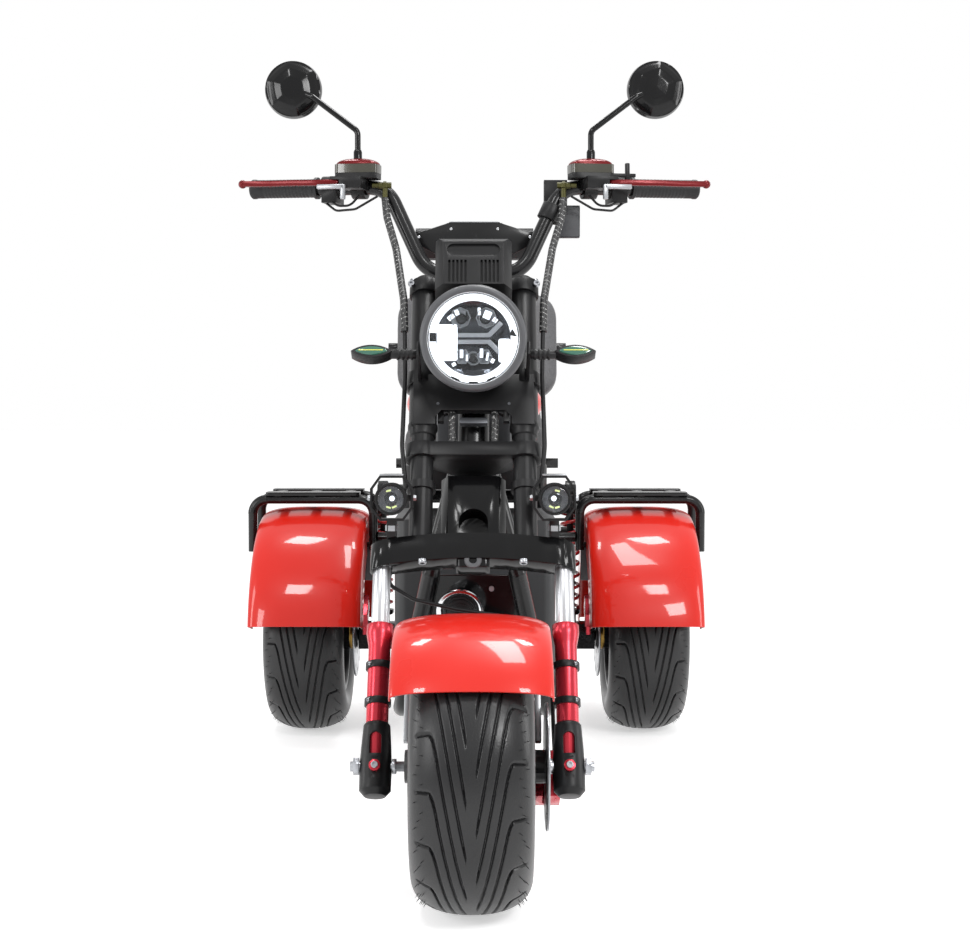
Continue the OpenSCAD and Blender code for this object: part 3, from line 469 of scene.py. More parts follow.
def tube(path, radius, sides):  # capped ring swept along points in metres, radius in mm
    bm = bmesh.new()
    runs = [(after - before).normalized() for before, after in zip(path, path[1:])]
    heading = runs[0]
    ring = bmesh.ops.create_circle(bm, segments=sides, radius=radius * mm, cap_ends=False,
                                   matrix=aimed(path[0], heading))["verts"]
    bm.faces.new(ring[::-1])
    for index in range(1, len(path)):
        ahead = runs[min(index, len(runs) - 1)]
        middle = (runs[index - 1] + ahead).normalized()
        turn = heading.rotation_difference(middle).to_matrix()
        edges = [edge for edge in bm.edges if edge.verts[0] in set(ring) and edge.verts[1] in set(ring)]
        grown = bmesh.ops.extrude_edge_only(bm, edges=edges)["geom"]
        fresh = [item for item in grown if isinstance(item, bmesh.types.BMVert)]
        shift = Matrix.Translation(path[index]) @ turn.to_4x4() @ Matrix.Translation(-path[index - 1])
        bmesh.ops.transform(bm, matrix=shift, verts=fresh)
        ring, heading = fresh, middle
    bmesh.ops.holes_fill(bm, edges=[edge for edge in bm.edges if len(edge.link_faces) == 1], sides=0)
    bmesh.ops.recalc_face_normals(bm, faces=bm.faces)
    return bm


def joined(*parts):
    whole = bmesh.new()
    for part in parts:
        mesh = bpy.data.meshes.new("part")
        part.to_mesh(mesh)
        part.free()
        whole.from_mesh(mesh)
        bpy.data.meshes.remove(mesh)
    return whole


def bothSides(bm):
    copy = bmesh.ops.duplicate(bm, geom=bm.verts[:] + bm.edges[:] + bm.faces[:])["geom"]
    bmesh.ops.scale(bm, vec=(-1, 1, 1), verts=[item for item in copy if isinstance(item, bmesh.types.BMVert)])
    bmesh.ops.reverse_faces(bm, faces=[item for item in copy if isinstance(item, bmesh.types.BMFace)])
    return bm


def piece(name, bm, body, skin, replaced=(), sharp=38):  # edges over that many degrees stay sharp
    bm.normal_update()
    for edge in bm.edges:
        edge.smooth = len(edge.link_faces) == 2 and edge.calc_face_angle(0) < math.radians(sharp)
    for face in bm.faces:
        face.smooth = True
    mesh = bpy.data.meshes.new(name)
    bm.to_mesh(mesh)
    bm.free()
    made = bpy.data.objects.new(name, mesh)
    bpy.context.scene.collection.objects.link(made)
    mesh.materials.append(skins[skin])
    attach(made, body)
    if replaced:
        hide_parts(*replaced)
    return made


def twins(name, bm, body, skin, replaced=(), sharp=38):  # the shape and its mirror image as one piece
    return piece(name, bothSides(bm), body, skin, replaced, sharp)


forward = Vector((0, -1, 0))
upward = Vector((0, 0, 1))

# tyres: long sweeping grooves cut into the tread
tyreLook = {"steps": 480, "fine": 136, "ends": 14, "flat": 0.8, "shoulder": 58, "roundness": 2.3, "bead": 98,
            "beadFit": 0.2, "wall": ((0, 72), (6, 79), (14, 85.5), (26, 91))}
grooveLook = {"count": 16, "depth": 4.5, "half": 1.5, "edge": 0.8, "ramp": 1.2, "slope": 5.7, "hookFrom": 50,
              "hookTo": 63, "end": 82, "endFade": 4, "centreRib": 7, "ribFade": 5}
hairLook = {"count": 96, "inset": 13, "spread": 5, "lean": 0.7, "shape": ((0.7, 0), (0.5, 5), (0, 8))}


def tyreCrown(half):  # x values over the crown, even where the grooves run
    steps, flat = tyreLook["ends"], tyreLook["flat"]
    outer = [half * (1 - (1 - flat) * (step / steps) ** 2) for step in range(steps)]
    inner = [half * flat * (1 - 2 * step / tyreLook["fine"]) for step in range(tyreLook["fine"] + 1)]
    return [-x for x in outer] + [-x for x in inner] + outer[::-1]


def crownRise(x, half):  # how far the crown stands out from the wall's top at that x
    power = tyreLook["roundness"]
    return tyreLook["shoulder"] * (1 - min(1.0, abs(x) / half) ** power) ** (1 / power)


def grooveRun(aside):  # how far a groove has climbed at that distance from the middle
    start, stop, slope = grooveLook["hookFrom"], grooveLook["hookTo"], grooveLook["slope"]
    if aside < start:
        return aside * slope, slope
    part = min(1.0, (aside - start) / (stop - start))
    return start * slope + (stop - start) * slope * (part - part * part / 2), slope * (1 - part)


def cutGrooves(bm, centre, radius, wallTop):
    look = grooveLook
    pitch = math.tau * radius / look["count"]
    for vert in bm.verts:
        away = (vert.co - centre) / mm
        aside = abs(away.x)
        turned = math.hypot(away.y, away.z)
        if turned < wallTop + 4 or not look["centreRib"] <= aside < look["end"]:
            continue
        run, slope = grooveRun(aside)
        count = (math.atan2(away.z, -away.y) * radius - run) / pitch + (0.5 if away.x > 0 else 0)
        gap = abs(count - math.floor(count) - 0.5) * pitch / math.hypot(1, slope)
        cut = max(0.0, min(1.0, (look["half"] + look["edge"] - gap) / look["ramp"]))
        outerFade = (look["end"] - aside) / look["endFade"]
        innerFade = (aside - look["centreRib"]) / look["ribFade"] + 0.2
        fade = max(0.0, min(1.0, outerFade, innerFade))
        vert.co += Vector((0, away.y, away.z)).normalized() * (-look["depth"] * cut * fade * mm)


def mouldHairs(centre, half, wallTop):  # thin hairs that the mould leaves on the shoulders
    hairs = []
    for index in range(hairLook["count"]):
        for side in (-1, 1):
            angle = math.tau * (index + 0.3 * side) / hairLook["count"]
            out = Vector((0, -math.cos(angle), math.sin(angle)))
            x = half - hairLook["inset"] - index % 3 * hairLook["spread"]
            foot = centre + (Vector((side * x, 0, 0)) + out * (wallTop + crownRise(x, half) - 1)) * mm
            lean = out + Vector((side * hairLook["lean"], 0, 0))
            hairs.append(lathe(hairLook["shape"], aimed(foot, lean), 5))
    return hairs


def tyrePiece(node, body):
    low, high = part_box(node)
    centre = (low + high) / 2
    half = (high.x - low.x) / 2 / mm
    radius = (high.z - low.z) / 2 / mm
    wallTop = radius - tyreLook["shoulder"]
    bead = radius - tyreLook["bead"] + tyreLook["beadFit"]
    wall = [(bead + up, x) for up, x in tyreLook["wall"]]
    crown = [(wallTop + crownRise(x, half), x) for x in tyreCrown(half)]
    profile = [(r, -x) for r, x in wall] + crown + wall[::-1]
    bm = lathe(profile, Matrix.Translation(centre) @ quarterY, tyreLook["steps"], closed=True)
    cutGrooves(bm, centre, radius, wallTop)
    piece(node + "_tread", joined(bm, *mouldHairs(centre, half, wallTop)), body, "rubber", [node], sharp=50)


for place in ("front", "rear_left", "rear_right"):
    tyrePiece(place + "_tyre", place + "_wheel")
print("tyres ready")

# fenders: pressed sheet with a rounded crown
fenderLook = {"sheet": 3, "rim": 0.8, "steps": 110, "crownPoints": 40}
frontFender = {"radius": 240, "half": 122, "drop": 24, "sharp": 2.3, "skirt": 209, "lip": 40, "tail": 24}
rearFender = {"radius": 312, "half": 128, "drop": 34, "sharp": 3.0, "skirt": 215, "lip": 12, "tail": 0}


def fenderSheet(centre, radius, half, drop, sharp, skirt, lip, tail):
    profile = [(skirt, -half)]
    for step in range(fenderLook["crownPoints"] + 1):
        angle = -math.pi / 2 + math.pi * step / fenderLook["crownPoints"]
        reach = abs(math.sin(angle)) ** (2 / sharp)
        rise = abs(math.cos(angle)) ** (2 / sharp)
        profile.append((radius - drop * (1 - rise), math.copysign(half * reach, angle)))
    profile.append((skirt, half))
    bm = bmesh.new()
    start = math.radians(lip)
    verts = [bm.verts.new((x * mm, -r * mm * math.cos(start), r * mm * math.sin(start))) for r, x in profile]
    edges = [bm.edges.new(pair) for pair in zip(verts, verts[1:])]
    bmesh.ops.spin(bm, geom=verts + edges, cent=(0, 0, 0), axis=(-1, 0, 0), dvec=(0, 0, 0),
                   angle=math.radians(180 - lip - tail), steps=fenderLook["steps"], use_merge=False,
                   use_duplicate=False)
    bmesh.ops.remove_doubles(bm, verts=bm.verts, dist=1e-6)
    bmesh.ops.recalc_face_normals(bm, faces=bm.faces)
    top = max(bm.faces, key=lambda face: face.calc_center_median().z)
    if top.normal.z < 0:
        bmesh.ops.reverse_faces(bm, faces=bm.faces)
    bmesh.ops.translate(bm, vec=centre, verts=bm.verts)
    return bm


def thickened(made):
    wall = made.modifiers.new("sheet", "SOLIDIFY")
    wall.thickness = fenderLook["sheet"] * mm
    wall.offset = -1
    rim = made.modifiers.new("rim", "BEVEL")
    rim.width = fenderLook["rim"] * mm
    rim.segments = 2
    rim.limit_method = "ANGLE"
    rim.angle_limit = math.radians(60)


frontSheet = fenderSheet(frontAxle, **frontFender)
thickened(piece("front_fender_sheet", frontSheet, "steering", "redPaint", ["front_fender"], sharp=60))
rearAxle = sum(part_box("rear_left_tyre"), Vector()) / 2
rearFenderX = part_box("rear_fenders")[1].x - rearFender["half"] * mm
rearSheet = fenderSheet(Vector((rearFenderX, rearAxle.y, rearAxle.z)), **rearFender)
thickened(twins("rear_fender_sheets", rearSheet, "chassis", "redPaint", ["rear_fenders"], sharp=60))
print("fenders ready")

# tank: a teardrop shell, widest in front, on two saddles from the spine
tankLook = {"front": 497, "back": 799, "wide": 132, "waist": 70, "high": 66, "backDrop": 22, "topFront": 790,
            "topBack": 742, "roundness": 3.2, "leanFrom": 0.35, "taper": 1.6, "belly": 0.86}
tankCap = {"back": 640, "up": 845,
           "shape": ((0, 10), (18, 9.5), (24, 7), (26, 3), (26, 0), (30, -1), (30, -6))}
saddleLook = {"tab": 5, "long": 40, "aside": 20, "bridge": 6, "under": 12, "bevel": 1.5}


def tankShell():
    bm = bmesh.new()
    bmesh.ops.create_uvsphere(bm, u_segments=72, v_segments=56, radius=1)
    bmesh.ops.rotate(bm, cent=(0, 0, 0), matrix=quarterX.to_3x3(), verts=bm.verts)
    look = tankLook
    power = look["roundness"]
    for vert in bm.verts:
        along = (vert.co.y + 1) / 2
        around = math.sqrt(max(1e-9, 1 - vert.co.y ** 2))
        away = abs(2 * along - 1)
        full = min(1.0, (1 - away ** power) ** (1 / power)) if away < 1 else 0.0
        lean = max(0.0, along - look["leanFrom"]) / (1 - look["leanFrom"])
        wide = (look["wide"] + (look["waist"] - look["wide"]) * lean ** look["taper"]) * full
        high = (look["high"] - look["backDrop"] * lean) * full
        middle = look["topFront"] + (look["topBack"] - look["topFront"]) * lean
        x, z = vert.co.x / around, vert.co.z / around
        lower = 1.0 if z > 0 else look["belly"]
        back = look["front"] + along * (look["back"] - look["front"])
        vert.co = spot(x * wide, back, middle + z * high * lower)
    bmesh.ops.remove_doubles(bm, verts=bm.verts, dist=1e-5)
    bmesh.ops.recalc_face_normals(bm, faces=bm.faces)
    return bm


def saddle(back, low, high):  # two tabs from the spine up into the tank, and the bridge between them
    look = saddleLook
    tabSize = (look["tab"], look["long"], high - low)
    bridgeSize = (2 * look["aside"] + look["tab"], look["long"], look["bridge"])
    parts = []
    for side in (-1, 1):
        tabSpot = spot(side * look["aside"], back, (low + high) / 2)
        parts.append(block(tabSize, Matrix.Translation(tabSpot), look["bevel"]))
    bridgeSpot = spot(0, back, high - look["under"])
    return joined(*parts, block(bridgeSize, Matrix.Translation(bridgeSpot), look["bevel"]))


piece("tank_shell", tankShell(), "chassis", "redPaint", ["tank_cover"], sharp=70)
capFrame = aimed(spot(0, tankCap["back"], tankCap["up"]), (0, 0.08, 1))
piece("tank_cap", lathe(tankCap["shape"], capFrame, 48), "chassis", "chrome")
piece("tank_saddles", joined(saddle(600, 650, 746), saddle(740, 632, 730)), "chassis", "blackTube")


# cushions: swollen by cloth pressure, then sewn
def uprightEdges(bm):
    return [edge for edge in bm.edges if abs((edge.verts[0].co - edge.verts[1].co).normalized().z) > 0.9]


def padBlock(size, place, corner, rim=16):
    bm = block(size, Matrix(), 0)
    bmesh.ops.bevel(bm, geom=uprightEdges(bm), offset=corner * mm, segments=5, profile=0.5, material=-1,
                    affect="EDGES")
    rims = [edge for edge in bm.edges if edge.calc_face_angle(0) > 1.2]
    bmesh.ops.bevel(bm, geom=rims, offset=rim * mm, segments=3, profile=0.5, material=-1, affect="EDGES")
    bmesh.ops.transform(bm, matrix=place, verts=bm.verts)
    return bm


def applied(made):  # the evaluated mesh takes the place of the mesh and its modifiers
    graph = bpy.context.evaluated_depsgraph_get()
    mesh = bpy.data.meshes.new_from_object(made.evaluated_get(graph), depsgraph=graph)
    made.modifiers.clear()
    made.data = mesh


clothLook = {"voxel": 6, "pressure": 4.0, "quality": 4, "frames": 20}
seamLook = {"depth": 5.0, "width": 5.0, "fade": 20}


def swell(made, cap):  # cap is how far in mm the cloth may move
    grid = made.modifiers.new("grid", "REMESH")
    grid.mode = "VOXEL"
    grid.voxel_size = clothLook["voxel"] * mm
    applied(made)
    before = [vert.co.copy() for vert in made.data.vertices]
    cloth = made.modifiers.new("cloth", "CLOTH")
    cloth.settings.use_pressure = True
    cloth.settings.uniform_pressure_force = clothLook["pressure"]
    cloth.settings.effector_weights.gravity = 0
    cloth.settings.quality = clothLook["quality"]
    cloth.point_cache.frame_start = 1
    cloth.point_cache.frame_end = clothLook["frames"]
    for step in range(1, clothLook["frames"] + 1):
        bpy.context.scene.frame_set(step)
    applied(made)
    bpy.context.scene.frame_set(1)
    for vert, start in zip(made.data.vertices, before):
        shift = vert.co - start
        if shift.length > cap * mm:
            vert.co = start + shift.normalized() * (cap * mm)


def sewn(made, place, axis, seams):  # seams in mm along that axis of the pad's own frame, on its top side
    back = place.inverted()
    for vert in made.data.vertices:
        local = back @ vert.co
        drop = max(math.exp(-(abs(local[axis] / mm - seam) / seamLook["width"]) ** 2) for seam in seams)
        if drop > 0.02 and local.z > 0:
            local.z -= drop * seamLook["depth"] * mm * min(1.0, local.z / (seamLook["fade"] * mm))
            vert.co = place @ local


def cushion(name, node, place, skin, size, corner, cap, axis, seams):
    made = piece(name, padBlock(size, place, corner), "chassis", skin, [node], sharp=80)
    swell(made, cap)
    sewn(made, place, axis, seams)
    for polygon in made.data.polygons:
        polygon.use_smooth = True
    smooth = made.modifiers.new("smooth", "SUBSURF")
    smooth.levels = 1
    smooth.render_levels = 1
    if not made.data.materials:
        made.data.materials.append(skins[skin])


driverPad = {"size": (314, 376, 74), "corner": 70, "cap": 10, "axis": 1, "seams": (-90, -30, 30, 90)}
passengerPad = {"size": (314, 284, 112), "corner": 60, "cap": 12, "axis": 1, "seams": (-70, 0, 70)}
backPad = {"size": (412, 272, 56), "corner": 62, "cap": 6, "axis": 0, "seams": (-96, 0, 96)}
seatPlaces = {"driver": (0, 1000, 702), "passenger": (0, 1354, 722), "backFoot": (0, 1500, 790),
              "backLean": -12, "backMiddle": (0, 1, 142)}
driverPlace = Matrix.Translation(spot(*seatPlaces["driver"]))
passengerPlace = Matrix.Translation(spot(*seatPlaces["passenger"]))
backLean = Matrix.Rotation(math.radians(seatPlaces["backLean"]), 4, "X")
backFrame = Matrix.Translation(spot(*seatPlaces["backFoot"])) @ backLean
backPlace = backFrame @ shifted(*seatPlaces["backMiddle"]) @ quarterX
cushion("driver_seat", "seat_cushion", driverPlace, "leather", **driverPad)
cushion("passenger_seat", "seat_cushion", passengerPlace, "leather", **passengerPad)
cushion("backrest_pad", "backrest_cushion", backPlace, "backLeather", **backPad)
print("cushions ready")

# handlebar and grips
gripLook = {"length": 132, "over": 4, "bore": 14.3, "flange": 20.5, "radius": 17.5, "end": 18.6, "ribs": 14,
            "ribDepth": 0.3}


def leftOf(point):
    return Vector((-point.x, point.y, point.z))


def gripSleeve():
    look = gripLook
    radius, groove = look["radius"], look["radius"] - look["ribDepth"]
    start, stop = gripRun - look["length"], gripRun + look["over"]
    points = [(look["bore"], start), (look["flange"], start), (look["flange"], start + 6)]
    points.append((radius, start + 9))
    ribRun = (stop - start - 40) / look["ribs"]
    for rib in range(look["ribs"]):
        left = start + 16 + rib * ribRun
        points += [(radius, left), (groove, left + 1), (groove, left + 3), (radius, left + 4)]
    points += [(radius, stop - 12), (look["end"], stop - 9), (look["end"], stop - 3), (16, stop), (0, stop)]
    return lathe(points, gripFrame @ quarterY, 48)


barMiddle = Vector((barLook["clamp"], 0, 0)) * mm
barPath = [leftOf(barEnd), leftOf(barKnee), barBase - barMiddle, barBase + barMiddle, barKnee, barEnd]
barTube = tube(rounded(barPath, barLook["bend"] * mm, 12), barLook["radius"], 28)
piece("handlebar_tube", barTube, "steering", "blackTube", ["handlebar"])
twins("grip_sleeves", gripSleeve(), "steering", "gripRubber", ["grips"])

# reservoirs: clear band under a domed red lid, with banjo fittings beside
capLook = {"x": 48, "y": -28, "long": 84, "wide": 46, "low": 38.2, "high": 12, "squareness": 0.16 / 0.29}
bandLook = {"z": 30, "high": 16, "inset": 1, "corner": 10.5}
banjoLook = {"bolt": ((0, -12), (6, -12), (6, -3), (8, -2.5), (8, 3), (6, 3.5), (6, 12), (4.5, 13), (4.5, 24),
                      (0, 24)),
             "neck": ((0, 4), (7, 4), (7, -4), (5, -5), (5, -22), (6, -23), (6, -28), (0, -28))}


def capLid():
    bm = bmesh.new()
    bmesh.ops.create_uvsphere(bm, u_segments=48, v_segments=24, radius=1)
    bmesh.ops.bisect_plane(bm, geom=bm.verts[:] + bm.edges[:] + bm.faces[:], plane_co=(0, 0, 0),
                           plane_no=(0, 0, -1), clear_outer=True)
    for vert in bm.verts:  # rounded oblong plan
        reach = math.hypot(vert.co.x, vert.co.y)
        if reach > 1e-6:
            square = max(abs(vert.co.x), abs(vert.co.y)) / reach
            grow = 1 + capLook["squareness"] * (1 - square)
            vert.co.x *= grow
            vert.co.y *= grow
    size = Vector((capLook["long"] / 2, capLook["wide"] / 2, capLook["high"])) * mm
    bmesh.ops.scale(bm, vec=size, verts=bm.verts)
    bmesh.ops.holes_fill(bm, edges=[edge for edge in bm.edges if len(edge.link_faces) == 1], sides=0)
    bmesh.ops.recalc_face_normals(bm, faces=bm.faces)
    place = gripFrame @ shifted(capLook["x"], capLook["y"], capLook["low"])
    bmesh.ops.transform(bm, matrix=place, verts=bm.verts)
    return bm


def clearBand():
    size = (capLook["long"] - bandLook["inset"], capLook["wide"] - bandLook["inset"], bandLook["high"])
    bm = block(size, gripFrame @ shifted(capLook["x"], capLook["y"], bandLook["z"]), 0)
    bmesh.ops.bevel(bm, geom=uprightEdges(bm), offset=bandLook["corner"] * mm, segments=6, profile=0.5,
                    material=-1, affect="EDGES")
    return bm


twins("reservoir_lids", capLid(), "steering", "leverRed", ["reservoir_caps"], sharp=50)
twins("reservoir_bands", clearBand(), "steering", "hazeBand")
kneePlace = Matrix.Translation(barKnee)
banjoPlace = kneePlace @ shifted(2, -24, 0)
banjo = joined(lathe(banjoLook["bolt"], banjoPlace @ quarterY, 6), lathe(banjoLook["neck"], banjoPlace, 16))
twins("banjo_fittings", banjo, "steering", "oliveBrass")


# small fittings along the grips, as rows of size and place in mm
def blocks(rows, place, bevel):
    return joined(*[block(size, place @ shifted(*at), bevel) for size, at in rows])


leverBracket = [((54, 8, 9), (88, -67, -6)), ((9, 8, 28), (64, -67, -16))]
switchPost = [((8, 8, 34), (120, -30, 26)), ((56, 7, 7), (108, -30, 20))]
wireLook = {"radius": 2.2, "bend": 20,
            "paths": [[(120, -6, -28), (92, -24, -46), (52, -30, -44), (10, -26, -20)],
                      [(104, -20, -28), (84, -34, -38), (60, -36, -38), (44, -30, -18)]]}
wireRuns = [[gripFrame @ (Vector(point) * mm) for point in path] for path in wireLook["paths"]]
wires = [tube(rounded(run, wireLook["bend"] * mm, 8), wireLook["radius"], 10) for run in wireRuns]
keyBox = {"case": (41, 19, 61), "casePlace": (15, 29, -62), "slot": (30, 2, 8), "slotPlace": (15, 19, -44)}
twins("lever_brackets", blocks(leverBracket, gripFrame, 2), "steering", "paleMetal")
piece("switch_post", blocks(switchPost, gripFrame, 1.5), "steering", "blackSatin")
twins("bar_wires", joined(*wires), "steering", "blackSatin")
piece("key_box", joined(block(keyBox["case"], kneePlace @ shifted(*keyBox["casePlace"]), 3),
                        block(keyBox["slot"], kneePlace @ shifted(*keyBox["slotPlace"]), 0.8)),
      "steering", "greyMould")

# mirrors: domed shell with a faceted back, glass towards the rider
mirrorLook = {"radius": 54, "foot": (48, -28, 62), "sink": 20, "elbow": 40, "top": (86, 10, 106), "bend": 16,
              "head": (38, 14, 17), "neck": (24, 8, 11), "knuckle": (22, 8, 10), "stem": 5.5,
              "facets": 6, "facetTurn": 0.35, "facetDepth": 0.6, "facetFade": 4, "spread": 0.93,
              "dome": ((0, -18.2), (20, -17.2), (34, -13), (44, -6), (50, 0), (54, 9)),
              "rim": ((54, 9), (54, 14), (52.5, 16.6), (50, 17), (49, 15), (0, 15)),
              "glass": ((0, 15.4), (49.6, 15.4), (49.8, 16.2), (49, 16.6), (0, 16.9)),
              "socket": ((0, 5), (6.5, 5), (8, 1), (8, -24), (0, -24)),
              "ball": ((0, 9), (8, 7), (10, 0), (8, -7), (0, -9))}
gripYaw = math.atan2(barEnd.y - barKnee.y, barEnd.x - barKnee.x)
mirrorFoot = barKnee + Matrix.Rotation(gripYaw, 3, "Z") @ Vector(mirrorLook["foot"]) * mm
mirrorTop = mirrorFoot + Vector(mirrorLook["top"]) * mm
headFrame = aimed(mirrorTop + Vector(mirrorLook["head"]) * mm, (0, 1, 0))
stemCorners = [mirrorFoot - upward * mirrorLook["sink"] * mm, mirrorFoot + upward * mirrorLook["elbow"] * mm,
               mirrorTop, mirrorTop + Vector(mirrorLook["neck"]) * mm]
stemPath = rounded(stemCorners, mirrorLook["bend"] * mm, 8)


def mirrorDome():
    dome, part = mirrorLook["dome"], math.tau / mirrorLook["facets"]
    edge = mirrorLook["radius"] - 1
    bm = lathe([(r, 0) for r in range(0, edge, 2)] + list(mirrorLook["rim"]), Matrix(), 96)
    for vert in bm.verts:  # soft facets round the dome
        reach = math.hypot(vert.co.x, vert.co.y) / mm
        if vert.co.z > 0.008 or reach > edge:
            continue
        turn = (math.atan2(vert.co.y, vert.co.x) + mirrorLook["facetTurn"]) % part - part / 2
        depth = min(1.0, (edge - reach) / mirrorLook["facetFade"]) * mirrorLook["facetDepth"]
        facet = 1 + (math.cos(turn) / math.cos(part / 2) - 1) * depth
        far = min(mirrorLook["radius"], reach * facet * mirrorLook["spread"])
        for (r0, z0), (r1, z1) in zip(dome, dome[1:]):
            if r0 <= far <= r1:
                vert.co.z = (z0 + (z1 - z0) * (far - r0) / (r1 - r0)) * mm
    bmesh.ops.transform(bm, matrix=headFrame, verts=bm.verts)
    return bm


knuckle = Matrix.Translation(mirrorTop) @ shifted(*mirrorLook["knuckle"])
mirrorShell = joined(tube(stemPath, mirrorLook["stem"], 16), mirrorDome(),
                     lathe(mirrorLook["socket"], Matrix.Translation(mirrorFoot), 32),
                     lathe(mirrorLook["ball"], knuckle, 32))
twins("mirror_shells", mirrorShell, "steering", "blackGloss", ["mirrors"], sharp=24)
twins("mirror_glasses", lathe(mirrorLook["glass"], headFrame, 64), "steering", "mirrorGlass")
print("bar ready")

# headlight: ring light, faceted reflectors and a forked bar behind clear glass
lampFrame = Matrix.Translation(lampFace) @ quarterX  # X right, Y up, Z to the front
lampTurned = {
    "lamp_bezel": ("greyMould", 128, ((79, -8), (79, 1), (80.5, 3), (84, 4), (88, 2.5), (91, -2), (92, -8),
                                      (92, -30), (90, -34))),
    "lamp_trim": ("chrome", 128, ((76.8, -4), (77, 0), (78, 1.2), (79.5, 1.2), (79.8, -4))),
    "lamp_halo": ("haloLight", 128, ((64, -10), (64, -4.5), (65, -3), (75.5, -3), (76.6, -4.5), (76.6, -10))),
    "lamp_dish": ("darkReflector", 96, ((0, -26), (28, -24), (48, -18), (64, -8))),
}
cellLook = {"upper": ((3, -20), (9, -18), (16, -11), (18, -5), (17, -5), (14, -11), (3, -19)),
            "lower": ((3, -20), (8, -18), (13, -12), (14, -6), (13, -6), (3, -19)),
            "middle": ((4, -20), (10, -16), (12, -8), (11, -8), (4, -19)),
            "lens": ((0, -9), (6, -10), (9, -13), (10, -17), (0, -17)),
            "upperSpot": (22, 35), "lowerSpot": (19, -31), "middleSpot": (0, -34),
            "lensSpots": ((-20, 33), (20, 33), (0, -34)), "hood": (22, 24, 8), "hoodSpot": (-2, 41, -12)}
forkedBar = [((84, 20, 10), (2, 0, -15), 0), ((40, 14, 10), (42, 16, -15), 0.82),
             ((40, 14, 10), (42, -16, -15), -0.82)]
barBand = [(-27, 2), (29, 2), (51, 24), (45, 30), (25, 9.5), (-27, 9.5)]
lampBlocks = [((35, 62, 8), (-44.5, -7, -9)), ((20, 40, 8), (53, -20.5, -9))]
litCells = [(-38, 36, 12, 8, 0.7), (-28, 44, 7, 10, 0.4), (10, 46, 5, 13, 0), (24, 40, 13, 14, -0.4),
            (37, 31, 8, 8, -0.7), (-20, -26, 6, 15, 0), (-11, -33, 3.5, 11, 0), (14, -25, 6, 16, 0),
            (24, -31, 4, 14, -0.2), (33, -38, 6, 8, -0.5), (-33, -44, 7, 6, 0.5)]  # x, y, wide, high, turn
slotLook = {"radius": 75, "turns": (-0.42, 0.0, 0.42), "size": (16, 3, 1.5), "window": (11, 15, 1.5),
            "arrow": ((61, 5), (75, 3), (66, 17))}
lampGlass = ((0, 3.6), (40, 2.8), (62, 1.0), (76, -2), (76.5, -2.6), (62, -0.2), (40, 1.6), (0, 2.4))


def onLamp(x, y, z, turn=0.0):
    return lampFrame @ shifted(x, y, z) @ Matrix.Rotation(turn, 4, "Z")


def lampCells():
    upperX, upperY = cellLook["upperSpot"]
    lowerX, lowerY = cellLook["lowerSpot"]
    parts = []
    for side in (-1, 1):
        parts.append(lathe(cellLook["upper"], onLamp(side * upperX, upperY, 0), 8))
        parts.append(lathe(cellLook["lower"], onLamp(side * lowerX, lowerY, 0), 6))
    return joined(*parts, lathe(cellLook["middle"], onLamp(*cellLook["middleSpot"], 0), 10))


def lampSlots():
    far = slotLook["radius"]
    parts = [block(slotLook["size"], onLamp(far * math.sin(turn), -far * math.cos(turn), -2.6, turn), 0.5)
             for turn in slotLook["turns"]]
    return joined(*parts, block(slotLook["window"], onLamp(-69, 2, -2.6), 3),
                  plate(slotLook["arrow"], 1.5, onLamp(0, 0, -3), 0.5))


for name, (skin, steps, profile) in lampTurned.items():
    piece(name, lathe(profile, lampFrame, steps), "steering", skin,
          ["headlight_lens"] if name == "lamp_halo" else [])
piece("lamp_cells", lampCells(), "steering", "paleMetal", sharp=20)
lenses = [lathe(cellLook["lens"], onLamp(x, y, 0), 32) for x, y in cellLook["lensSpots"]]
lensHood = block(cellLook["hood"], onLamp(*cellLook["hoodSpot"]), 2)
piece("lamp_lenses", joined(*lenses, lensHood), "steering", "screen")
piece("lamp_bar", joined(*[block(size, onLamp(*at, turn), 1.5) for size, at, turn in forkedBar]), "steering",
      "darkReflector")
piece("lamp_bar_bands", joined(plate(barBand, 4, onLamp(0, 0, -11), 1),
                               plate([(x, -y) for x, y in barBand[::-1]], 4, onLamp(0, 0, -11), 1)),
      "steering", "paleMetal")
piece("lamp_blocks", blocks(lampBlocks, lampFrame, 3), "steering", "haloLight")
cellLights = [block((wide, high, 2), onLamp(x, y, -7, turn), 0.8) for x, y, wide, high, turn in litCells]
piece("lamp_cell_light", joined(*cellLights), "steering", "ledAndPaintedGlint")
piece("lamp_slots", lampSlots(), "steering", "blackSatin")
piece("lamp_glass", lathe(lampGlass, lampFrame, 96), "steering", "clearGlass")
print("headlight ready")

# hoses: wrapped upper runs, thin runs beside the fork below; points in mm along the fork unless from the knee
hoseLook = {"wrapped": 7.0, "thin": 4.0, "stem": 6, "front": 3.4, "pitch": 9, "wrapBend": 50, "thinBend": 40,
            "stemBend": 12, "frontBend": 30}
wrapStart = [(2, -24, -24), (-2, -32, -60), (-20, -54, -120)]  # from the bar's knee
wrapEnd = [(126, -34, 850), (124, -24, 790)]
thinRun = [(124, -24, 795), (121, -20, 700), (123, -22, 560), (116, 0, 488)]
stemRun = [(37, -14, 655), (38, -20, 615), (36, -12, 562)]
frontRun = [(-136, 14, 350), (-144, 25, 322), (-100, 25, 294), (-29, 24, 276), (45, 24, 264), (105, 24, 246),
            (128, 24, 222), (129, 26, 150), (132, 62, 62), (134, 84, 34)]
clipLook = {"x": 89, "shape": ((20.2, 482), (24.5, 482), (24.5, 496), (20.2, 496))}


def forkPath(points):
    return [forkSpot(*point) for point in points]


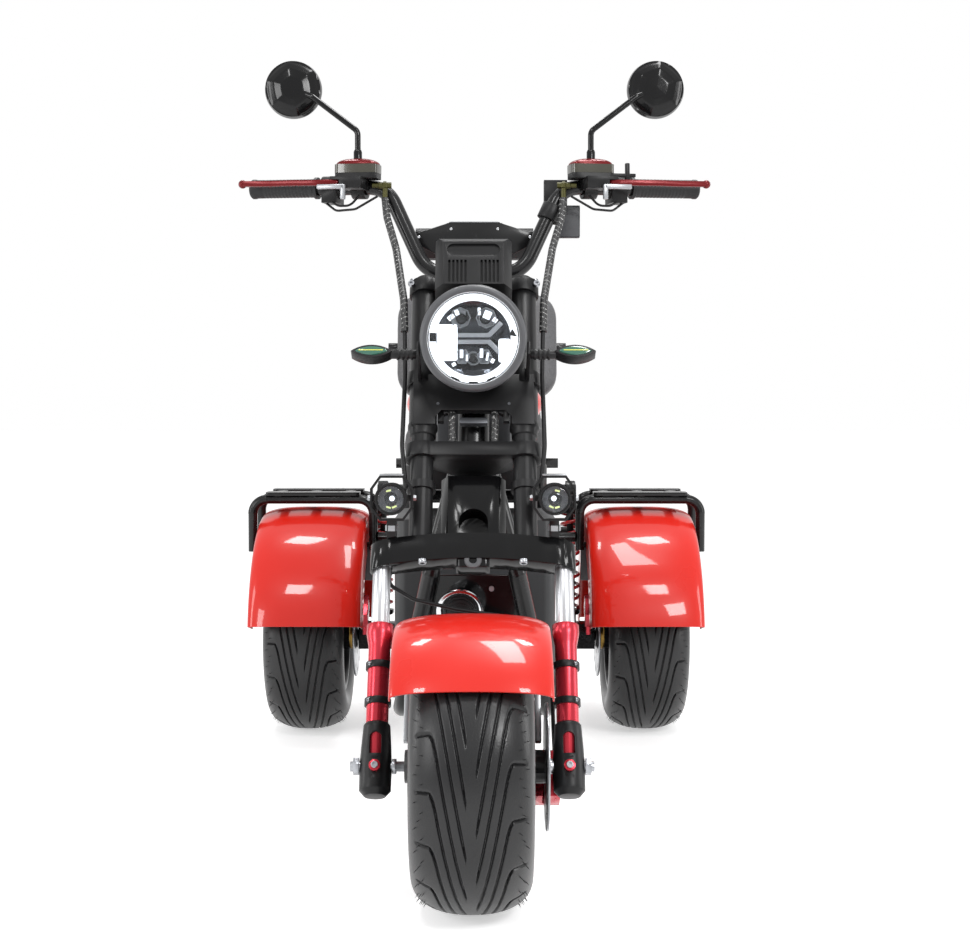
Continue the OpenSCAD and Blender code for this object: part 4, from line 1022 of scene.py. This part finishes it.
def hoseMap(made, path):  # u counts turns of the wrapping along the hose, v goes once round it
    lengths = [0.0]
    for before, after in zip(path, path[1:]):
        lengths.append(lengths[-1] + (after - before).length)
    layer = made.data.uv_layers.new(name="run")
    for polygon in made.data.polygons:
        for loop in polygon.loop_indices:
            co = made.data.vertices[made.data.loops[loop].vertex_index].co
            mirrored = Vector((abs(co.x), co.y, co.z))
            near = min(range(len(path)), key=lambda index: (path[index] - mirrored).length_squared)
            away = mirrored - path[near]
            turns = lengths[near] / (hoseLook["pitch"] * mm)
            layer.data[loop].uv = (turns, math.atan2(away.z, away.x) / math.tau)


wrapCorners = [barKnee + Vector(point) * mm for point in wrapStart] + forkPath(wrapEnd)
wrapPath = rounded(wrapCorners, hoseLook["wrapBend"] * mm, 14)
wrapHose = tube(wrapPath, hoseLook["wrapped"], 16)
hoseMap(twins("wrapped_hoses", wrapHose, "steering", "wrapped", ["brake_hoses"]), wrapPath)
clips = lathe(clipLook["shape"], forkFrame @ shifted(clipLook["x"], 0, 0), 32, closed=True)
thinHose = tube(rounded(forkPath(thinRun), hoseLook["thinBend"] * mm, 10), hoseLook["thin"], 12)
twins("thin_hoses", joined(thinHose, clips), "steering", "blackSatin")
stemHose = tube(rounded(forkPath(stemRun), hoseLook["stemBend"] * mm, 6), hoseLook["stem"], 16)
hoseMap(twins("stem_hoses", stemHose, "steering", "wrapped"), forkPath(stemRun))
frontHose = tube(rounded(forkPath(frontRun), hoseLook["frontBend"] * mm, 8), hoseLook["front"], 12)
piece("front_hose", frontHose, "steering", "blackSatin")
print("hoses ready")

# rear shocks: coil springs over dampers
shockLook = {"x": 226, "eye": 581, "turns": 8.5, "wire": 4.2, "coil": 20, "bottom": 292, "top": 522,
             "damper": ((0, 255.4), (14, 255.4), (15, 258), (15, 274), (22, 276), (25, 280), (25, 288),
                        (12, 290), (12, 400), (8, 402), (8, 520), (22, 522), (25, 526), (25, 538), (16, 544),
                        (11, 546), (11, 566), (0, 566)),
             "eyeRing": ((10.4, -12), (17, -12), (19, -10), (19, 10), (17, 12), (10.4, 12))}
shockFoot = Vector((shockLook["x"] * mm, rearAxle.y, 0))


def coil():
    look = shockLook
    steps = int(look["turns"] * 20)
    path = []
    for step in range(steps + 1):
        t = step / steps
        angle = t * look["turns"] * math.tau
        rise = look["bottom"] + (look["top"] - look["bottom"]) * t
        turned = Vector((look["coil"] * math.cos(angle), look["coil"] * math.sin(angle), rise))
        path.append(shockFoot + turned * mm)
    return tube(path, look["wire"], 10)


eyePlace = Matrix.Translation(shockFoot + upward * shockLook["eye"] * mm) @ quarterY
damper = joined(lathe(shockLook["damper"], Matrix.Translation(shockFoot), 40),
                lathe(shockLook["eyeRing"], eyePlace, 40, closed=True))
twins("shock_dampers", damper, "chassis", "blackTube", ["rear_shocks"])
twins("shock_springs", coil(), "chassis", "springRed")
print("shocks ready")

# horn: bright trumpet ring and dark pierced centre
shieldLook = {"back": 440, "up": 480, "lean": 16.2, "bolt": (32, -2.2, -30)}
hornLook = {"place": (-26, -16, -60), "ribs": (10, 17, 24),
            "ring": ((0, -13.5), (8, -13.5), (8, 0), (30, 0), (34, 6), (40, 14), (44, 21), (44.5, 25),
                     (43, 28), (39, 28.5), (35, 26), (31, 22), (0, 22)),
            "centre": ((30.5, 22), (29, 25), (22, 27.5), (12, 29.5), (0, 30))}
shieldLean = Matrix.Rotation(math.radians(shieldLook["lean"]), 4, "X")
shieldFrame = Matrix.Translation(spot(0, shieldLook["back"], shieldLook["up"])) @ shieldLean
hornFrame = shieldFrame @ shifted(*hornLook["place"]) @ quarterX


def hornRib(radius):
    fall = (radius - 12) * 0.15
    return lathe([(radius, 26.5 - fall), (radius + 1.6, 29), (radius + 3.2, 26.2 - fall)], hornFrame, 64)


piece("horn_ring", lathe(hornLook["ring"], hornFrame, 96), "chassis", "chrome", ["horn"])
hornCentre = lathe(hornLook["centre"], hornFrame, 64)
piece("horn_centre", joined(hornCentre, *map(hornRib, hornLook["ribs"])), "chassis", "blackSatin")

# spot lamps: dark ring, bright bowl, round lens, a painted glint and painted yellow-green highlights
spotLook = {"foot": (136, -8, 385), "eye": (0, -8, 74), "cableFoot": (-116, 2, 486), "cable": 3,
            "cableBend": 12}
spotEye = forkSpot(*spotLook["foot"]) + Vector(spotLook["eye"]) * mm
spotPlace = Matrix.Translation(spotEye)
spotFrame = spotPlace @ quarterX
spotTurned = {
    "spot_rings": ("blackTube", 64, ((21.8, 22), (22.2, 29.5), (23, 31), (26, 31), (27, 29), (27, 22))),
    "spot_bowls": ("greyMould", 48, ((6, 24.4), (12, 25.2), (18, 27.6), (21.6, 30))),
    # painted highlight: the glint is a small glowing white dot in place of a reflection
    "spot_glints": ("ledAndPaintedGlint", 24, ((0, 29.3), (3, 29), (4.5, 28.2))),
    "spot_eyes": ("screen", 32, ((0, 28), (5, 27.4), (9.5, 26.2), (12, 24.6))),
    "spot_lens": ("clearGlass", 48, ((0, 33), (12, 32.2), (20, 30.2), (21.7, 29.4), (0, 29.6))),
}
tintLook = {"radius": 14, "size": (8, 3, 1.5), "turns": (-2.0, -1.3, 1.3)}
spotFittings = {"slab": (40, 20, 2.4), "slabUp": 39, "slot": (26, 6, 1.2), "slotUp": 40, "boltAside": 36,
                "bolt": ((0, 5), (4.5, 5), (5.5, 3), (5.5, -1), (0, -1)), "nutDown": 49,
                "nut": ((0, -6), (11, -6), (11, 3), (8, 5), (0, 5))}


def onSpot(x, y, z, turn=0.0):
    return spotFrame @ shifted(x, y, z) @ Matrix.Rotation(turn, 4, "Z")


def spotPiece(name):
    skin, steps, profile = spotTurned[name]
    glint = onSpot(-2, 1, 0) if name == "spot_glints" else spotFrame
    twins(name, lathe(profile, glint, steps), "steering", skin)


# painted highlights: small glowing yellow-green blocks round the unlit lens
def spotPaintedTints():
    far = tintLook["radius"]
    places = [onSpot(far * math.cos(turn), far * math.sin(turn), 27, turn + math.pi / 2)
              for turn in tintLook["turns"]]
    return joined(*[block(tintLook["size"], place, 0.6) for place in places])


def spotFitting():
    look = spotFittings
    parts = [block(look["slab"], spotPlace @ shifted(0, 0, look["slabUp"]), 0.8)]
    for side in (-1, 1):
        bolt = spotEye + Vector((side * look["boltAside"], 4, 0)) * mm
        parts.append(lathe(look["bolt"], aimed(bolt, (side, 0, 0)), 6))
    return joined(*parts, lathe(look["nut"], spotPlace @ shifted(0, 0, -look["nutDown"]), 6))


for name in ("spot_rings", "spot_bowls", "spot_glints", "spot_eyes"):
    spotPiece(name)
twins("spot_painted_tints", spotPaintedTints(), "steering", "paintedSpotTint")
spotPiece("spot_lens")
leftEye = leftOf(spotEye)
cableCorners = [forkSpot(*spotLook["cableFoot"]), leftEye + Vector((2, 58, -4)) * mm,
                leftEye + Vector((0, 22, 0)) * mm]
cable = tube(rounded(cableCorners, spotLook["cableBend"] * mm, 6), spotLook["cable"], 10)
piece("spot_cable", cable, "steering", "blackSatin")
twins("spot_fittings", spotFitting(), "steering", "paleMetal")
topSlot = block(spotFittings["slot"], spotPlace @ shifted(0, 0, spotFittings["slotUp"]), 0.4)
twins("spot_top_slots", topSlot, "steering", "blackSatin")
print("lamps ready")

# indicators: leaf lens with a bright line on each
signalLook = {"place": (175, -96, 699), "half": 29, "wide": 8.5, "thick": 5, "front": 9.5, "lineFront": 14.2,
              "line": ((-20, -0.9), (22, -0.9), (22, 0.9), (-20, 0.9))}
signalFrame = forkFrame @ shifted(*signalLook["place"]) @ quarterX


def leaf(half, wide, points=14):
    radius = (half ** 2 + wide ** 2) / (2 * wide)
    reach = math.asin(half / radius)
    arc = [-reach + 2 * reach * step / points for step in range(points + 1)]
    upper = [(radius * math.sin(a), radius * math.cos(a) - radius + wide) for a in arc]
    return upper + [(-x, -y) for x, y in upper[1:-1]]


signalLeaf = leaf(signalLook["half"], signalLook["wide"])
signalLens = plate(signalLeaf, signalLook["thick"], signalFrame @ shifted(0, 0, signalLook["front"]), 2.5)
signalLine = plate(signalLook["line"], 1.0, signalFrame @ shifted(0, 0, signalLook["lineFront"]), 0.3)
twins("signal_lenses", signalLens, "steering", "signalLens")
twins("signal_lines", signalLine, "steering", "signalLine")


# fasteners on the fork
def boltHead(place, direction, radius, high=None):
    high = high or radius * 0.9
    return lathe([(0, high * 0.4), (radius * 0.5, high * 0.4), (radius * 0.55, high), (radius * 0.9, high),
                  (radius, high * 0.85), (radius, -0.6), (0, -0.6)], aimed(place, direction), 20)


forkFront = (forkFrame.to_3x3() @ forward).normalized()
forkUp = (forkFrame.to_3x3() @ upward).normalized()
forkBolts = [((84, -21, 345), -forkUp, 7, 6), ((112, -10, 906), forkUp, 5.5), ((114, -22, 893), forkFront, 6),
             ((152, -30.2, -6), forkFront, 5.5, 3), ((165, -17, 104.5), (0.7, -0.7, 0), 3),
             ((165, -17, 165.5), (0.7, -0.7, 0), 3)]
stayLook = {"size": (9.6, 16, 184), "place": (104.6, 2, 132)}
washerLook = {"place": (0, -17.8, 346), "shape": ((6.5, 0), (13, 0), (15, 2), (14, 4), (8, 4), (6.5, 3))}
twins("fork_bolts", joined(*[boltHead(forkSpot(*at), *rest) for at, *rest in forkBolts]), "steering", "steel")
fenderStay = block(stayLook["size"], forkFrame @ shifted(*stayLook["place"]), 1.5)
twins("fender_stays", fenderStay, "steering", "paleMetal")
washerFrame = aimed(forkSpot(*washerLook["place"]), forkFront)
washer = lathe(washerLook["shape"], washerFrame, 32, closed=True)
piece("boss_washer", washer, "steering", "greyMould")

# instrument front and the plates below the lamp
dashLook = {"fascia": ((-47, 99), (47, 99), (113, 78), (113, 60), (75, 40), (-75, 40), (-113, 60),
                       (-113, 78)),
            "lip": ((-44, 101), (44, 101), (49, 99.2), (-49, 99.2)), "back": 40, "thick": 3.5,
            "screws": ((44, 87), (-44, 87), (105, 72), (-105, 72))}
coverLook = {"outline": ((-106, -50), (-66, -50), (-66, -34), (-56, -22), (56, -22), (66, -34), (66, -50),
                         (106, -50), (106, 50), (-106, 50)), "place": (0, -25, 650), "thick": 3}
plateFixing = {"screws": ((-62, -28, 640), (62, -28, 640)), "block": (50, 14, 12),
               "blockPlace": (0, -12, 612)}
neckPanel = {"size": (136, 16, 116), "place": (0, 100, 657), "bevel": 6}
dashFrame = Matrix.Translation(barBase) @ shifted(0, dashLook["back"], 0) @ quarterX
dashScrews = [boltHead(dashFrame @ (Vector((x, z, dashLook["thick"] - 0.1)) * mm), forward, 2.6, 1.6)
              for x, z in dashLook["screws"]]
plateScrews = [boltHead(forkSpot(*at), forkFront, 2.6, 1.4) for at in plateFixing["screws"]]
piece("dash_fascia", plate(dashLook["fascia"], dashLook["thick"], dashFrame, 1.2), "steering", "blackTube")
piece("dash_lip", plate(dashLook["lip"], 5, dashFrame, 0.5), "steering", "paleMetal")
piece("dash_screws", joined(*dashScrews), "steering", "chrome")
plateBlock = block(plateFixing["block"], forkFrame @ shifted(*plateFixing["blockPlace"]), 2)
piece("plate_screws", joined(*plateScrews, plateBlock), "steering", "castAlloy")
coverFrame = forkFrame @ shifted(*coverLook["place"]) @ quarterX
coverPlate = plate(coverLook["outline"], coverLook["thick"], coverFrame, 1)
piece("fork_cover_plate", coverPlate, "steering", "blackSatin")
neckBlock = block(neckPanel["size"], forkFrame @ shifted(*neckPanel["place"]), neckPanel["bevel"])
piece("neck_panel", neckBlock, "chassis", "greyMould")
shieldBolt = boltHead(shieldFrame @ (Vector(shieldLook["bolt"]) * mm), forward, 5, 4)
piece("shield_bolt", shieldBolt, "chassis", "steel")

# rack plates and the rings round the rear hubs
rackPlate = {"size": (30, 4, 78), "x": 262, "ahead": 75, "up": 406}
hubRing = {"x": 294.5, "shape": ((30.7, 0), (33, 0), (34, 2), (34, 11), (32, 13), (30.7, 13))}
rackSpot = Vector((rackPlate["x"] * mm, rearAxle.y - rackPlate["ahead"] * mm, rackPlate["up"] * mm))
twins("rack_plates", block(rackPlate["size"], Matrix.Translation(rackSpot), 1.5), "chassis", "greyMould")
for side, body in ((1, "rear_left_wheel"), (-1, "rear_right_wheel")):
    hub = Matrix.Translation(Vector((side * hubRing["x"] * mm, rearAxle.y, rearAxle.z)))
    outward = hub @ Matrix.Rotation(side * math.pi / 2, 4, "Y")
    piece(body + "_hub_ring", lathe(hubRing["shape"], outward, 48, closed=True), body, "brass")
print("fittings ready")

# CAD nodes that keep their own shape
skinNodes = {
    "blackTube": ["frame", "backrest_frame", "fender_racks", "rear_axle"],
    "blackGloss": ["neck_cover", "front_shield", "fork_bridge", "headlight_shell"],
    "blackSatin": ["seat_pan", "bar_boxes", "steering_clamps", "fork_tubes", "leg_caps", "brake_masters",
                   "headlight_cowl", "instrument_hood", "front_indicators", "spot_lamps"],
    "redAnodised": ["rear_calipers", "fork_legs", "front_caliper"],
    "leverRed": ["brake_levers"],
    "deckRubber": ["deck"],
    "caseBlack": ["battery_case"],
    "castAlloy": ["drive_motor"],
    "rodSteel": ["chrome_rods"],
    "steel": ["front_axle"],
    "tail": ["tail_lamps"],
}
discPlaces = {"front_rim": (frontAxle, 117), "rear_left_rim": (rearAxle, 292),
              "rear_right_rim": (rearAxle, -292)}
edgeLook = {"weld": 0.02, "width": 0.9, "angle": 40}


def dress(made, skin):
    made.data.materials.clear()
    made.data.materials.append(skins[skin])
    for polygon in made.data.polygons:
        polygon.use_smooth = True
        polygon.material_index = 0
    weld = made.modifiers.new("weld", "WELD")
    weld.merge_threshold = edgeLook["weld"] * mm
    edge = made.modifiers.new("edge", "BEVEL")
    edge.width = edgeLook["width"] * mm
    edge.segments = 2
    edge.limit_method = "ANGLE"
    edge.angle_limit = math.radians(edgeLook["angle"])
    edge.use_clamp_overlap = True
    edge.harden_normals = True


for name, (centre, slabX) in discPlaces.items():
    skins[name] = makeDisc(name + "_finish", centre, slabX * mm)
    skinNodes[name] = [name]
for skin, names in skinNodes.items():
    for name in names:
        dress(nodes[name], skin)
print("CAD nodes dressed:", sum(len(names) for names in skinNodes.values()))

# floor, backdrop light and lamps
stageLook = {"floor": 30.0, "floorColor": (0.88, 0.88, 0.88, 1), "floorRough": 0.6, "floorShine": 0.2,
             "floorGlow": 0.5, "worldLight": 0.55, "keyPower": 48, "fillPower": 28, "topPower": 34,
             "sidePower": 20, "patchPower": 13}


def seenRays(tree):  # 1 for rays that show the backdrop itself, in sight, in metal or through glass
    path = tree.nodes.new("ShaderNodeLightPath")
    both = mathNode(tree, "MAXIMUM", path.outputs["Is Camera Ray"], path.outputs["Is Glossy Ray"])
    return mathNode(tree, "MAXIMUM", both, path.outputs["Is Transmission Ray"])


world = bpy.data.worlds.new("studio")
bpy.context.scene.world = world
world.use_nodes = True
sky = world.node_tree.nodes["Background"]
sky.inputs["Color"].default_value = (1, 1, 1, 1)
seenPart = mathNode(world.node_tree, "MULTIPLY", seenRays(world.node_tree), 1 - stageLook["worldLight"])
strength = mathNode(world.node_tree, "ADD", seenPart, stageLook["worldLight"])
world.node_tree.links.new(strength, sky.inputs["Strength"])

floorMesh = bmesh.new()
bmesh.ops.create_grid(floorMesh, x_segments=2, y_segments=2, size=stageLook["floor"])
floorData = bpy.data.meshes.new("floor")
floorMesh.to_mesh(floorData)
floorMesh.free()
floor = bpy.data.objects.new("floor", floorData)
bpy.context.scene.collection.objects.link(floor)
floorSkin, floorTree, floorShader = startMaterial("paleFloor")[:3]
floorShader.inputs["Base Color"].default_value = stageLook["floorColor"]
floorShader.inputs["Roughness"].default_value = stageLook["floorRough"]
floorShader.inputs["Specular IOR Level"].default_value = stageLook["floorShine"]
floorTint = mixColor(floorTree, seenRays(floorTree), (0, 0, 0, 1), (1, 1, 1, 1))
floorTree.links.new(floorTint, floorShader.inputs["Emission Color"])
floorShader.inputs["Emission Strength"].default_value = stageLook["floorGlow"]
floorData.materials.append(floorSkin)


def softLamp(name, place, target, size, power):
    data = bpy.data.lights.new(name, "AREA")
    data.shape = "RECTANGLE"
    data.size, data.size_y = size
    data.energy = power
    lamp = bpy.data.objects.new(name, data)
    lamp.location = place
    lamp.rotation_euler = (Vector(target) - Vector(place)).to_track_quat("-Z", "Y").to_euler()
    bpy.context.scene.collection.objects.link(lamp)


softLamp("keyLamp", (1.5, -2.9, 2.3), (0, 0, 0.6), (0.9, 0.7), stageLook["keyPower"])
softLamp("fillLamp", (-2.4, -2.4, 1.5), (0, 0, 0.6), (0.7, 1.0), stageLook["fillPower"])
softLamp("topLamp", (0.4, 0.1, 3.2), (0, 0, 0.5), (1.3, 0.45), stageLook["topPower"])
for side in (-1, 1):
    softLamp("sideLamp", (side * 2.6, -0.4, 1.1), (0, 0, 0.7), (0.5, 1.6), stageLook["sidePower"])
    softLamp("highLamp", (side * 0.75, 0.95, 3.3), (side * 0.4, 0.75, 0.5), (0.45, 0.35),
             stageLook["patchPower"])
    softLamp("frontLamp", (side * 0.85, -1.8, 2.8), (side * 0.4, 0.75, 0.4), (0.3, 0.5),
             stageLook["patchPower"])
print("stage ready")
